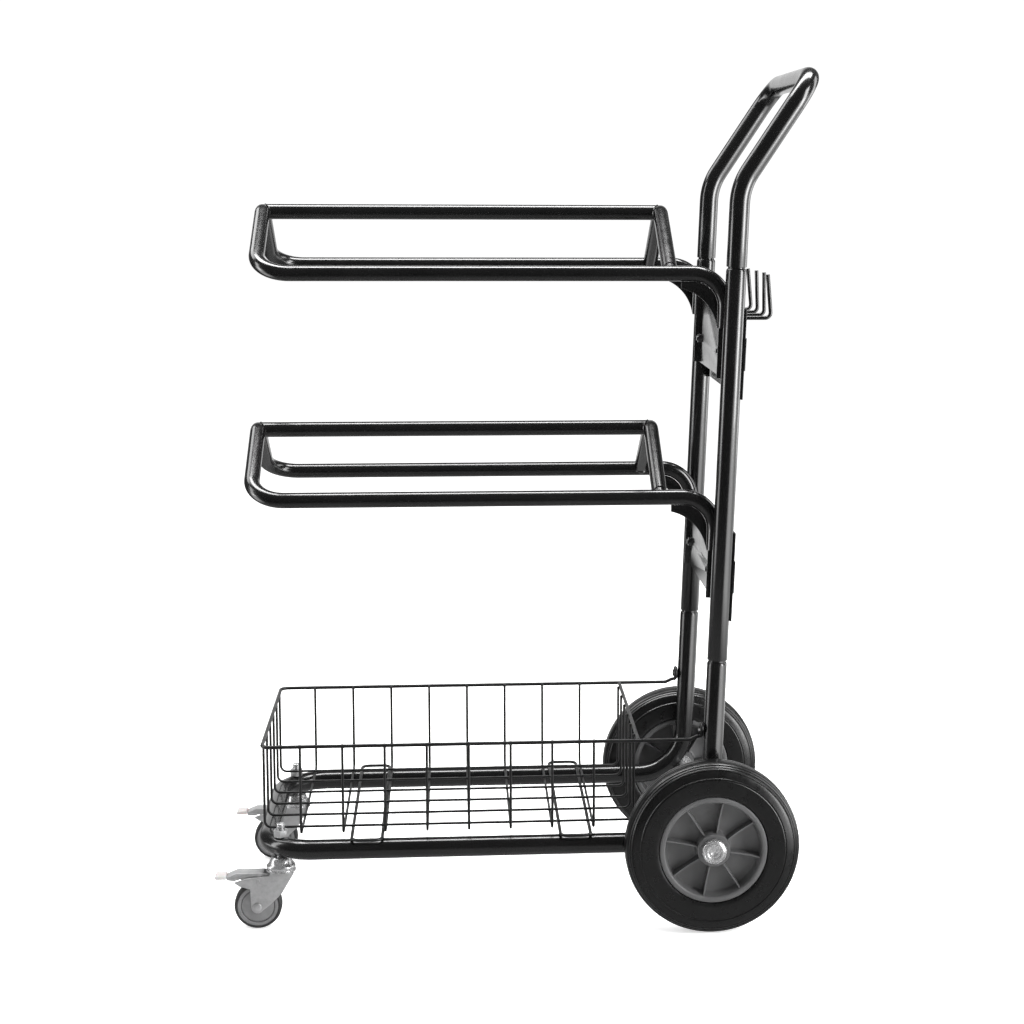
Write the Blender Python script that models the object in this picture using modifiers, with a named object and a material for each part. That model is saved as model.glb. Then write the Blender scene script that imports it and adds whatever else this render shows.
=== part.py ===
"""Two-tier rolling rack cart with a wire basket, for carrying saddles and other field gear.

Metres, +Z up. The handle and the large wheels are at +X, the casters at -X. "left" is -Y and
"right" is +Y, as seen by a person who pushes the cart. While the cart is modelled, X = 0 is the
rear axle; the last step moves everything so that the origin is the middle of the footprint.
"""
import math

import bmesh
import bpy
from mathutils import Matrix, Vector

# Clearances
GAP = 0.0003                     # between pieces that touch or are welded
HOLE_PLAY = 0.0005               # between a round piece and the facets of its hole

# Frame tube
FRAME_TUBE_RADIUS = 0.0150
FRAME_WALL = 0.0015
FRAME_HALF_SPAN = 0.1812         # from the middle plane to each upright's axis
UPRIGHT_LEAN = math.radians(2.25)
BASE_DROP = 0.0065               # of the base tube's axis below the rear axle
BASE_REACH = 0.6600              # from the rear axle to the front bar's axis
BASE_CORNER_RADIUS = 0.0720
LOWER_JOINT_HEIGHT = 0.4020
UPPER_JOINT_HEIGHT = 0.9850
SPIGOT_PLAY = 0.0009             # between a spigot and the bore it fills
SPIGOT_LENGTH = 0.0450
SHOULDER_LENGTH = 0.0040
JOINT_GROOVE = 0.0020

# Handle
HANDLE_BEND_HEIGHT = 1.1020
HANDLE_RAKE = math.radians(33.5)
HANDLE_TOP_HEIGHT = 1.2600
HANDLE_BEND_RADIUS = 0.0900
HANDLE_CORNER_RADIUS = 0.0480

# Racks
RACK_TUBE_RADIUS = 0.0115
RACK_WALL = 0.0012
LOWER_RAIL_HEIGHT = 0.6435
RACK_SPACING = 0.3310
RACK_OVERHANG = 0.0255           # of the rack over the base, measured from the legs
REAR_BRACE_REACH = 0.0840        # from the legs to the rear V
LEG_FORWARD = 0.0100             # legs' axes in front of the uprights' axes
LEG_DROP = 0.0800
V_RISE = 0.0905                  # of the V's sharp corner above the rails' axes
V_CORNER_RADIUS = 0.0300
RACK_FRONT_RADIUS = 0.0500
RACK_REAR_RADIUS = 0.0485

# Rack mounts
PLATE_THICKNESS = 0.0030
CHANNEL_SHEET = 0.0025
CHANNEL_TOP = 0.0340             # below the rails' axes
CHANNEL_DROP = 0.1560
CHANNEL_WEB_FRONT = 0.0085       # in front of the uprights' axes
CHANNEL_FLANGE_FRONT = 0.0170
CLAMP_PLATE_TOP = 0.0500
CLAMP_PLATE_DROP = 0.1830
CLAMP_BAND_HEIGHT = 0.0480
CLAMP_BAND_DEPTH = 0.0015
CLAMP_OVERHANG = 0.0040          # past the uprights' axes
GUSSET_THICKNESS = 0.0025
GUSSET_LEAD = 0.0170             # in front of the rear bend's start
GUSSET_DEPTH = 0.0100
GUSSET_DROP = 0.0780
GUSSET_HOLLOW_RADIUS = 0.0680
BOLT_RADIUS = 0.0040
BOLT_HEAD_RADIUS = 0.0075
BOLT_HEAD_HEIGHT = 0.0053
BOLT_HALF_SPACING = 0.1200
BOLT_DROP = 0.1165
BOLT_TIP = 0.0020                # past the weld nut
WELD_NUT_RADIUS = 0.0075
WELD_NUT_HEIGHT = 0.0065

# Hooks
HOOK_WIRE_RADIUS = 0.0030
HOOK_PITCH = 0.0690
HOOK_REACH = 0.0450
HOOK_HEIGHT = 0.0650
HOOK_BEND_RADIUS = 0.0080
HOOK_DROP = 0.0680               # below the upper rails' axes

# Basket
RIM_WIRE_RADIUS = 0.0025
MESH_WIRE_RADIUS = 0.00175
BASKET_INSET = 0.0012            # of the rim wire's axis inside the uprights' axes
BASKET_RISE = 0.1565             # of the rim wire's axis above the base tube's axis
BASKET_OVERHANG = 0.0030         # of the front rim over the base's front bar
BASKET_REAR = 0.1105             # from the rear axle to the basket's rear wall
BASKET_CORNER_RADIUS = 0.0120
CROSS_WIRES = 8
FIRST_CROSS_WIRE = 0.0555
LONG_WIRES = 6
LONG_WIRE_EDGE = 0.0325          # from the rim to the outermost long wires
WIRE_CORNER_RADIUS = 0.0100
WELD_DEPTH = 0.0006
RIM_RISE = 0.0050
RIM_RISE_RUN = 0.0110
EYE_RADIUS = 0.0085
EYE_DROP = 0.0102                # from the eye's centre down to the rim wire's end
SUPPORT_WIRE_RADIUS = 0.0025
SUPPORT_WIDTH = 0.0450
SUPPORT_OVERHANG = 0.0160        # past the base tubes' axes
SUPPORT_CORNER_RADIUS = 0.0120
SUPPORT_PLACES = {"front": 0.773, "rear": 0.304}   # shares of the base's reach
SCREW_RADIUS = 0.0025
SCREW_HEAD_RADIUS = 0.0070
SCREW_HEAD_HEIGHT = 0.0030
SCREW_LENGTH = 0.0120

# Rear wheels
WHEEL_RADIUS = 0.1300
WHEEL_INNER_PLAY = 0.0022        # between the wheel and the frame tube's side
TYRE_HALF_WIDTH = 0.0255
TYRE_CROWN_HALF_WIDTH = 0.0130
TYRE_SHOULDER_RADIUS = 0.1210
TYRE_WALL_RADIUS = 0.1080
RIM_RADIUS = 0.0805
RIM_INNER_RADIUS = 0.0714
RIM_HALF_WIDTH = 0.0235
HUB_BOSS_RADIUS = 0.0247
HUB_WEB_HALF_THICKNESS = 0.0020
HUB_RIBS = 8
HUB_RIB_THICKNESS = 0.0020
HUB_RIB_HALF_WIDTH = 0.0180
AXLE_RADIUS = 0.0100
CAP_RADIUS = 0.0183
CAP_HEIGHT = 0.0100
CAP_FLOOR = 0.0030
WASHER_RADIUS = 0.0200
WASHER_THICKNESS = 0.0014

# Casters
CASTER_RADIUS = 0.0352
CASTER_HALF_WIDTH = 0.0120
CASTER_CORE_RADIUS = 0.0245
CASTER_TRAIL = 0.0344
FORK_HALF_GAP = 0.0140
FORK_SHEET = 0.0020
FORK_ABOVE_AXLE = 0.0533         # from the wheel's centre to the fork's top
FORK_PLATE_RADIUS = 0.0220
FORK_EAR_RADIUS = 0.0095
STEM_RADIUS = 0.0060
STEM_ABOVE_TUBE = 0.0200
RACE_RADIUS = 0.0215
RIVET_RADIUS = 0.0050
STEM_NUT_RADIUS = 0.0110
STEM_NUT_HEIGHT = 0.0100
CASTER_BOLT_RADIUS = 0.0040
CASTER_BOLT_HEAD_RADIUS = 0.0065
CASTER_BOLT_HEAD_HEIGHT = 0.0030
PEDAL_HALF_WIDTH = 0.0118
PEDAL_PIN_RADIUS = 0.0022
PEDAL_LUG = 0.0040               # half the lug's width
PEDAL_PIVOT_X = -0.0330          # from the swivel axis
PEDAL_PIVOT_DROP = 0.0140        # below the fork's top
TAB_HALF_WIDTH = 0.0125

# Facets
FRAME_SIDES = 12
RACK_SIDES = 10
WIRE_SIDES = 6
BEND_STEP = math.radians(22.5)
WIRE_BEND_STEP = math.radians(45.0)
WHEEL_STEPS = 32
SMALL_STEPS = 18

SIDES = (("left", -1.0), ("right", 1.0))

# Sizes that follow from the values above
AXLE_HEIGHT = WHEEL_RADIUS
BASE_HEIGHT = AXLE_HEIGHT - BASE_DROP
WHEEL_CENTRE_Y = FRAME_HALF_SPAN + FRAME_TUBE_RADIUS + WHEEL_INNER_PLAY + TYRE_HALF_WIDTH
BASE_TOP = BASE_HEIGHT + FRAME_TUBE_RADIUS
BASE_BOTTOM = BASE_HEIGHT - FRAME_TUBE_RADIUS
SPIGOT_RADIUS = FRAME_TUBE_RADIUS - FRAME_WALL - SPIGOT_PLAY
CORNER_INSET = BASE_CORNER_RADIUS * (1.0 - math.cos(math.radians(45.0)))
CASTER_X = CORNER_INSET - BASE_REACH
CASTER_Y = FRAME_HALF_SPAN - CORNER_INSET
FORK_TOP = CASTER_RADIUS + FORK_ABOVE_AXLE
PEDAL_PIVOT_Z = FORK_TOP - PEDAL_PIVOT_DROP
LEG_SPACING = FRAME_TUBE_RADIUS + RACK_TUBE_RADIUS + GAP
RACK_HALF_WIDTH = FRAME_HALF_SPAN - math.sqrt(LEG_SPACING ** 2 - LEG_FORWARD ** 2)
RACK_REACH = BASE_REACH + RACK_OVERHANG
CLAMP_OFFSET = FRAME_TUBE_RADIUS + GAP + PLATE_THICKNESS / 2.0
RAIL_HEIGHTS = {"lower": LOWER_RAIL_HEIGHT, "upper": LOWER_RAIL_HEIGHT + RACK_SPACING}
V_SLOPE = math.atan2(V_RISE, RACK_HALF_WIDTH)
RIDGE_RISE = V_RISE - V_CORNER_RADIUS * (1.0 / math.cos(V_SLOPE) - 1.0)
BASKET_HALF_WIDTH = FRAME_HALF_SPAN - BASKET_INSET
BASKET_HEIGHT = BASE_HEIGHT + BASKET_RISE
BASKET_FRONT = BASE_REACH + BASKET_OVERHANG
CROSS_WIRE_PITCH = (BASKET_FRONT - BASKET_REAR - FIRST_CROSS_WIRE) / CROSS_WIRES
LONG_WIRE_PITCH = 2.0 * (BASKET_HALF_WIDTH - LONG_WIRE_EDGE) / (LONG_WIRES - 1)
SUPPORT_HEIGHT = BASE_TOP + GAP + SUPPORT_WIRE_RADIUS
CROSS_WIRE_HEIGHT = SUPPORT_HEIGHT + SUPPORT_WIRE_RADIUS + GAP + MESH_WIRE_RADIUS
LONG_WIRE_HEIGHT = CROSS_WIRE_HEIGHT + 2.0 * MESH_WIRE_RADIUS - WELD_DEPTH
WIRE_INSET = RIM_WIRE_RADIUS + MESH_WIRE_RADIUS + GAP
EYE_HEIGHT = BASKET_HEIGHT + RIM_RISE + EYE_DROP


# Scene and materials

def clear_scene():
    for item in list(bpy.data.objects):
        bpy.data.objects.remove(item, do_unlink=True)


def new_collection(name, parent):
    collection = bpy.data.collections.new(name)
    parent.children.link(collection)
    return collection


def finish(name, colour, roughness, metallic):
    material = bpy.data.materials.new(name)
    material.use_nodes = True
    shader = material.node_tree.nodes["Principled BSDF"]
    shader.inputs["Base Color"].default_value = (*colour, 1.0)
    shader.inputs["Roughness"].default_value = roughness
    shader.inputs["Metallic"].default_value = metallic
    return material


clear_scene()
PARTS = new_collection("rolling_rack_cart", bpy.context.scene.collection)
CUTTERS = new_collection("cutters", bpy.context.scene.collection)

BLACK_COAT = ("black_coat", (0.012, 0.012, 0.013), 0.25, 0.0)
BLACK_WIRE = ("black_wire", (0.015, 0.015, 0.016), 0.40, 0.0)
RUBBER = ("tyre_rubber", (0.018, 0.018, 0.018), 0.70, 0.0)
GREY_PLASTIC = ("grey_plastic", (0.16, 0.16, 0.165), 0.50, 0.0)
CASTER_TREAD = ("caster_tread", (0.07, 0.07, 0.072), 0.60, 0.0)
CASTER_CORE = ("caster_core", (0.24, 0.24, 0.245), 0.45, 0.0)
ZINC = ("zinc", (0.62, 0.62, 0.63), 0.30, 1.0)
WHITE_TAB = ("white_tab", (0.75, 0.75, 0.74), 0.45, 0.0)


def into(collection, item):
    for holder in list(item.users_collection):
        holder.objects.unlink(item)
    collection.objects.link(item)


def smooth(mesh):
    mesh.shade_smooth()
    mesh.set_sharp_from_angle(angle=math.radians(35.0))


def as_part(item, name, look):
    """Names an object, gives it a finish of its own and files it with the parts."""
    item.name = name
    item.data.name = name
    item.data.materials.clear()
    item.data.materials.append(finish(f"{name}_{look[0]}", *look[1:]))
    smooth(item.data)
    into(PARTS, item)
    return item


def as_cutter(item, name):
    item.name = name
    item.hide_render = True
    item.display_type = "WIRE"
    into(CUTTERS, item)
    return item


def combine(target, other, operation):
    modifier = target.modifiers.new(f"{operation.lower()}_{other.name}", "BOOLEAN")
    modifier.operation = operation
    modifier.solver = "EXACT"
    modifier.object = other


def cut(target, other):
    combine(target, other, "DIFFERENCE")


def weld(target, other):
    combine(target, other, "UNION")


# Shapes

def object_from_bmesh(mesh_data, name):
    mesh = bpy.data.meshes.new(name)
    mesh_data.to_mesh(mesh)
    mesh_data.free()
    item = bpy.data.objects.new(name, mesh)
    bpy.context.scene.collection.objects.link(item)
    return item


def box(name, low, high):
    low = Vector(low)
    high = Vector(high)
    mesh_data = bmesh.new()
    bmesh.ops.create_cube(mesh_data, size=1.0)
    bmesh.ops.scale(mesh_data, vec=high - low, verts=mesh_data.verts)
    bmesh.ops.translate(mesh_data, vec=(high + low) / 2.0, verts=mesh_data.verts)
    return object_from_bmesh(mesh_data, name)


def rod(name, start, end, radius, steps=SMALL_STEPS):
    """A plain round or many-sided bar between two points."""
    start = Vector(start)
    end = Vector(end)
    mesh_data = bmesh.new()
    bmesh.ops.create_cone(
        mesh_data,
        cap_ends=True,
        segments=steps,
        radius1=radius,
        radius2=radius,
        depth=(end - start).length,
    )
    turn = Vector((0.0, 0.0, 1.0)).rotation_difference(end - start).to_matrix().to_4x4()
    place = Matrix.Translation((start + end) / 2.0) @ turn
    bmesh.ops.transform(mesh_data, matrix=place, verts=mesh_data.verts)
    return object_from_bmesh(mesh_data, name)


def rounded_path(points, radii, step=BEND_STEP, closed=False):
    """Points along straight runs whose corners are replaced by arcs of the given radii."""
    points = [Vector(point) for point in points]
    count = len(points)
    path = []
    for index, corner in enumerate(points):
        if not closed and index in (0, count - 1):
            path.append(corner)
            continue
        to_last = (points[index - 1] - corner).normalized()
        to_next = (points[(index + 1) % count] - corner).normalized()
        turn = math.pi - to_last.angle(to_next)
        radius = radii[index]
        if radius <= 0.0 or turn < 1e-4:
            path.append(corner)
            continue
        reach = radius * math.tan(turn / 2.0)
        inward = (to_last + to_next).normalized()
        centre = corner + inward * (radius / math.cos(turn / 2.0))
        first = corner + to_last * reach - centre
        axis = first.cross(corner + to_next * reach - centre).normalized()
        steps = max(2, math.ceil(turn / step))
        for number in range(steps + 1):
            spin = Matrix.Rotation(turn * number / steps, 3, axis)
            path.append(centre + spin @ first)
    return path


def fill_spline(curve, path, closed=False, widths=None):
    spline = curve.splines.new("POLY")
    spline.points.add(len(path) - 1)
    for number, place in enumerate(path):
        spline.points[number].co = (*place, 1.0)
        spline.points[number].radius = 1.0 if widths is None else widths[number]
    spline.use_cyclic_u = closed


def tube(name, paths, radius, sides, closed=False, widths=None, capped=True):
    """One round bar along each path, as a mesh."""
    curve = bpy.data.curves.new(name, "CURVE")
    curve.dimensions = "3D"
    curve.bevel_depth = radius
    curve.bevel_resolution = (sides - 4) // 2
    curve.use_fill_caps = capped
    for path in paths:
        fill_spline(curve, path, closed, widths)
    return mesh_from_curve(curve, name)


def mesh_from_curve(curve, name, matrix=None):
    source = bpy.data.objects.new(f"{name}_curve", curve)
    if matrix is not None:
        source.matrix_world = matrix
    bpy.context.scene.collection.objects.link(source)
    bpy.context.view_layer.update()
    graph = bpy.context.evaluated_depsgraph_get()
    mesh = bpy.data.meshes.new_from_object(source.evaluated_get(graph))
    mesh_data = bmesh.new()
    mesh_data.from_mesh(mesh)
    bmesh.ops.remove_doubles(mesh_data, verts=mesh_data.verts, dist=0.00001)
    bmesh.ops.recalc_face_normals(mesh_data, faces=mesh_data.faces)
    mesh_data.to_mesh(mesh)
    mesh_data.free()
    mesh.transform(source.matrix_world)
    item = bpy.data.objects.new(name, mesh)
    bpy.context.scene.collection.objects.link(item)
    bpy.data.objects.remove(source, do_unlink=True)
    return item


def hollow_tube(name, path, radius, wall, sides, widths=None):
    """A black tube that is open at both ends."""
    item = tube(name, [path], radius, sides, widths=widths, capped=False)
    modifier = item.modifiers.new("wall", "SOLIDIFY")
    modifier.thickness = wall
    modifier.offset = -1.0
    modifier.use_even_offset = True
    return as_part(item, name, BLACK_COAT)


def frame_tube(name, path, widths=None):
    return hollow_tube(name, path, FRAME_TUBE_RADIUS, FRAME_WALL, FRAME_SIDES, widths)


def rack_tube(name, path):
    return hollow_tube(name, path, RACK_TUBE_RADIUS, RACK_WALL, RACK_SIDES)


def flat_plate(name, outline, thickness, matrix):
    """A flat outline in its own XY plane, given a thickness and placed by a matrix."""
    curve = bpy.data.curves.new(name, "CURVE")
    curve.dimensions = "2D"
    curve.fill_mode = "BOTH"
    curve.extrude = thickness / 2.0
    fill_spline(curve, [(point[0], point[1], 0.0) for point in outline], closed=True)
    return mesh_from_curve(curve, name, matrix)


def upright_plane(x, y=0.0, z=0.0):
    """Places an outline's X along +X and its Y along +Z, at the given point."""
    return Matrix.Translation((x, y, z)) @ Matrix.Rotation(math.radians(90.0), 4, "X")


def leaning_place(height, forward=0.0):
    """The uprights' lean, with its origin between their axes at a height or in front of them."""
    lean = Matrix.Rotation(UPRIGHT_LEAN, 4, "Y")
    ahead = Matrix.Translation((-forward, 0.0, 0.0))
    return Matrix.Translation((upright_x(height), 0.0, height)) @ lean @ ahead


def arc(centre, radius, start, end, steps):
    """Points on an arc from one angle to another, in degrees."""
    points = []
    for number in range(steps + 1):
        angle = math.radians(start + (end - start) * number / steps)
        points.append((centre[0] + radius * math.cos(angle), centre[1] + radius * math.sin(angle)))
    return points


def rounded_outline(corners, radii, step=BEND_STEP):
    path = rounded_path([(x, y, 0.0) for x, y in corners], radii, step, closed=True)
    return [(point.x, point.y) for point in path]


def turned(name, profile, steps, matrix, closed=False):
    """A profile of (radius, height) points, top to bottom on its outer side, turned about Z."""
    mesh = bpy.data.meshes.new(name)
    corners = [(radius, 0.0, height) for radius, height in profile]
    edges = [(number, number + 1) for number in range(len(corners) - 1)]
    if closed:
        edges.append((len(corners) - 1, 0))
    mesh.from_pydata(corners, edges, [])
    item = bpy.data.objects.new(name, mesh)
    bpy.context.scene.collection.objects.link(item)
    item.matrix_world = matrix
    modifier = item.modifiers.new("turn", "SCREW")
    modifier.axis = "Z"
    modifier.steps = steps
    modifier.render_steps = steps
    modifier.use_merge_vertices = True
    modifier.merge_threshold = 0.00001
    modifier.use_smooth_shade = True
    return item


def outward_axis(side, x, y, z):
    """Turns +Z to point away from the cart's middle plane."""
    return Matrix.Translation((x, y, z)) @ Matrix.Rotation(math.radians(-90.0 * side), 4, "X")


# Places on the frame

def upright_x(height):
    """X of the uprights' axes at a height."""
    return (height - AXLE_HEIGHT) * math.tan(UPRIGHT_LEAN)


def upright_point(side, height):
    return Vector((upright_x(height), side * FRAME_HALF_SPAN, height))


def along_upright(side, height, distance):
    """The point that lies a distance up the upright from the given height."""
    return upright_point(side, height + distance * math.cos(UPRIGHT_LEAN))


def leg_x(height):
    return upright_x(height) - LEG_FORWARD


# Frame

def spigot(side, height):
    """Path points and widths of a tube's necked end, from its tip down to its shoulder."""
    neck = SPIGOT_RADIUS / FRAME_TUBE_RADIUS
    places = (
        (SPIGOT_LENGTH, neck),
        (-JOINT_GROOVE, neck),
        (-JOINT_GROOVE - SHOULDER_LENGTH * 0.3, neck + (1.0 - neck) * 0.7),
        (-JOINT_GROOVE - SHOULDER_LENGTH, 1.0),
    )
    path = [along_upright(side, height, distance) for distance, _ in places]
    widths = [width for _, width in places]
    return path, widths


def heel_radius():
    """The bend radius that lets the axle lie against the heel of each rear bend."""
    spread = 1.0 / math.cos(UPRIGHT_LEAN) - math.tan(UPRIGHT_LEAN)
    shift = -BASE_DROP * math.tan(UPRIGHT_LEAN)
    reach = AXLE_RADIUS + FRAME_TUBE_RADIUS + GAP
    linear = 2.0 * (spread * shift + BASE_DROP + reach)
    constant = shift ** 2 + BASE_DROP ** 2 - reach ** 2
    return (linear + math.sqrt(linear ** 2 - 4.0 * spread ** 2 * constant)) / (2.0 * spread ** 2)


def base_frame():
    """One tube: down the left upright, round the front of the base and up the right upright."""
    left_path, left_widths = spigot(-1.0, LOWER_JOINT_HEIGHT)
    right_path, right_widths = spigot(1.0, LOWER_JOINT_HEIGHT)
    corners = [
        left_path[-1],
        upright_point(-1.0, BASE_HEIGHT),
        (-BASE_REACH, -FRAME_HALF_SPAN, BASE_HEIGHT),
        (-BASE_REACH, FRAME_HALF_SPAN, BASE_HEIGHT),
        upright_point(1.0, BASE_HEIGHT),
        right_path[-1],
    ]
    heel = heel_radius()
    radii = (0.0, heel, BASE_CORNER_RADIUS, BASE_CORNER_RADIUS, heel, 0.0)
    run = rounded_path(corners, radii)
    path = left_path[:-1] + run + right_path[-2::-1]
    widths = left_widths[:-1] + [1.0] * len(run) + right_widths[-2::-1]
    item = frame_tube("base_frame_tube", path, widths)
    for side_name, side in SIDES:
        bore = rod(
            "stem_hole",
            (CASTER_X, side * CASTER_Y, BASE_BOTTOM - 0.01),
            (CASTER_X, side * CASTER_Y, BASE_TOP + 2.0 * STEM_ABOVE_TUBE),
            STEM_RADIUS + HOLE_PLAY,
        )
        cut(item, as_cutter(bore, f"stem_hole_{side_name}"))
        middle = upright_x(EYE_HEIGHT)
        pilot = rod(
            "screw_hole",
            (middle - 2.0 * FRAME_TUBE_RADIUS, side * FRAME_HALF_SPAN, EYE_HEIGHT),
            (middle, side * FRAME_HALF_SPAN, EYE_HEIGHT),
            SCREW_RADIUS + HOLE_PLAY,
            12,
        )
        cut(item, as_cutter(pilot, f"screw_hole_{side_name}"))


def mid_uprights():
    for side_name, side in SIDES:
        tip_path, tip_widths = spigot(side, UPPER_JOINT_HEIGHT)
        path = [upright_point(side, LOWER_JOINT_HEIGHT)] + tip_path[::-1]
        frame_tube(f"mid_upright_{side_name}", path, [1.0] + tip_widths[::-1])


def handle():
    top_x = upright_x(HANDLE_BEND_HEIGHT)
    top_x += (HANDLE_TOP_HEIGHT - HANDLE_BEND_HEIGHT) * math.tan(HANDLE_RAKE)
    corners = [
        upright_point(-1.0, UPPER_JOINT_HEIGHT),
        upright_point(-1.0, HANDLE_BEND_HEIGHT),
        (top_x, -FRAME_HALF_SPAN, HANDLE_TOP_HEIGHT),
        (top_x, FRAME_HALF_SPAN, HANDLE_TOP_HEIGHT),
        upright_point(1.0, HANDLE_BEND_HEIGHT),
        upright_point(1.0, UPPER_JOINT_HEIGHT),
    ]
    bend = HANDLE_BEND_RADIUS
    corner = HANDLE_CORNER_RADIUS
    frame_tube("push_handle", rounded_path(corners, (0.0, bend, corner, corner, bend, 0.0)))


# Racks

def rack_rails(name, rail_height):
    """Both legs, both rails and the front V, bent from one tube."""
    foot = rail_height - LEG_DROP
    knee = leg_x(rail_height)
    nose = knee - RACK_REACH
    half = RACK_HALF_WIDTH
    corners = [
        (leg_x(foot), -half, foot),
        (knee, -half, rail_height),
        (nose, -half, rail_height),
        (nose, 0.0, rail_height + V_RISE),
        (nose, half, rail_height),
        (knee, half, rail_height),
        (leg_x(foot), half, foot),
    ]
    rear = RACK_REAR_RADIUS
    front = RACK_FRONT_RADIUS
    radii = (0.0, rear, front, V_CORNER_RADIUS, front, rear, 0.0)
    rack_tube(f"{name}_rack_rails", rounded_path(corners, radii))


def rack_brace(name, rail_height):
    """The rear V, which stands on both rails."""
    brace_x = leg_x(rail_height) - REAR_BRACE_REACH
    stand_off = RACK_TUBE_RADIUS + GAP
    foot_y = RACK_HALF_WIDTH - stand_off * math.cos(V_SLOPE)
    foot_z = rail_height + stand_off * math.sin(V_SLOPE)
    corners = [
        (brace_x, -foot_y, foot_z),
        (brace_x, 0.0, rail_height + V_RISE),
        (brace_x, foot_y, foot_z),
    ]
    rack_tube(f"{name}_rack_rear_brace", rounded_path(corners, (0.0, V_CORNER_RADIUS, 0.0)))


def rack_ridge(name, rail_height):
    stand_off = RACK_TUBE_RADIUS + GAP
    front = leg_x(rail_height) - RACK_REACH + stand_off
    rear = leg_x(rail_height) - REAR_BRACE_REACH - stand_off
    height = rail_height + RIDGE_RISE
    rack_tube(f"{name}_rack_ridge_rail", [(front, 0.0, height), (rear, 0.0, height)])


def gusset_outline(rail_height):
    """A plate that fills the inside of a rail's rear bend and hollows out below it."""
    lean = math.tan(UPRIGHT_LEAN)
    radius = RACK_REAR_RADIUS
    clear = RACK_TUBE_RADIUS + GAP
    centre_x = leg_x(rail_height - radius) - radius / math.cos(UPRIGHT_LEAN)
    centre = (centre_x, rail_height - radius)
    front = centre_x - GUSSET_LEAD
    under_rail = rail_height - clear
    heel = rail_height - GUSSET_DROP
    heel_x = leg_x(heel) - clear * math.sqrt(1.0 + lean * lean)
    toe = (front, under_rail - GUSSET_DEPTH)
    inner_arc = arc(centre, radius - clear, -math.degrees(UPRIGHT_LEAN), 90.0, 6)
    chord = Vector((heel_x - toe[0], heel - toe[1]))
    middle = Vector((toe[0] + heel_x, toe[1] + heel)) / 2.0
    below = Vector((chord.y, -chord.x)).normalized()
    depth = math.sqrt(GUSSET_HOLLOW_RADIUS ** 2 - (chord.length / 2.0) ** 2)
    hub = middle + below * depth
    start = math.degrees(math.atan2(toe[1] - hub.y, toe[0] - hub.x))
    end = math.degrees(math.atan2(heel - hub.y, heel_x - hub.x))
    hollow = arc(hub, GUSSET_HOLLOW_RADIUS, start, end, 8)
    return [(front, under_rail)] + hollow + inner_arc


def rack_gussets(name, rail_height):
    outline = gusset_outline(rail_height)
    for side_name, side in SIDES:
        matrix = upright_plane(0.0, side * RACK_HALF_WIDTH)
        item = flat_plate("gusset", outline, GUSSET_THICKNESS, matrix)
        as_part(item, f"{name}_rack_gusset_{side_name}", BLACK_COAT)


def bolt_place(rail_height, side, forward):
    place = leaning_place(rail_height, forward)
    return place @ Vector((0.0, side * BOLT_HALF_SPACING, -BOLT_DROP))


def rack_mount(name, rail_height):
    """The channel welded between the legs, with a nut welded in front of each bolt hole."""
    outer = RACK_HALF_WIDTH - RACK_TUBE_RADIUS - GAP
    inner = outer - CHANNEL_SHEET
    flange = -CHANNEL_FLANGE_FRONT
    web = -CHANNEL_WEB_FRONT
    back = web + CHANNEL_SHEET
    section = (
        (back, -outer),
        (back, outer),
        (flange, outer),
        (flange, inner),
        (web, inner),
        (web, -inner),
        (flange, -inner),
        (flange, -outer),
    )
    middle = Matrix.Translation((0.0, 0.0, -(CHANNEL_TOP + CHANNEL_DROP) / 2.0))
    matrix = leaning_place(rail_height) @ middle
    channel = flat_plate("channel", section, CHANNEL_DROP - CHANNEL_TOP, matrix)
    as_part(channel, f"{name}_rack_channel", BLACK_COAT)
    for side_name, side in SIDES:
        nut = rod(
            "weld_nut",
            bolt_place(rail_height, side, CHANNEL_WEB_FRONT - CHANNEL_SHEET / 2.0),
            bolt_place(rail_height, side, CHANNEL_WEB_FRONT + WELD_NUT_HEIGHT),
            WELD_NUT_RADIUS,
            6,
        )
        weld(channel, as_cutter(nut, f"{name}_weld_nut_{side_name}"))
    for side_name, side in SIDES:
        hole = rod(
            "bolt_hole",
            bolt_place(rail_height, side, 3.0 * CLAMP_OFFSET),
            bolt_place(rail_height, side, -3.0 * CLAMP_OFFSET),
            BOLT_RADIUS + HOLE_PLAY,
            12,
        )
        cut(channel, as_cutter(hole, f"{name}_bolt_hole_{side_name}"))


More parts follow.
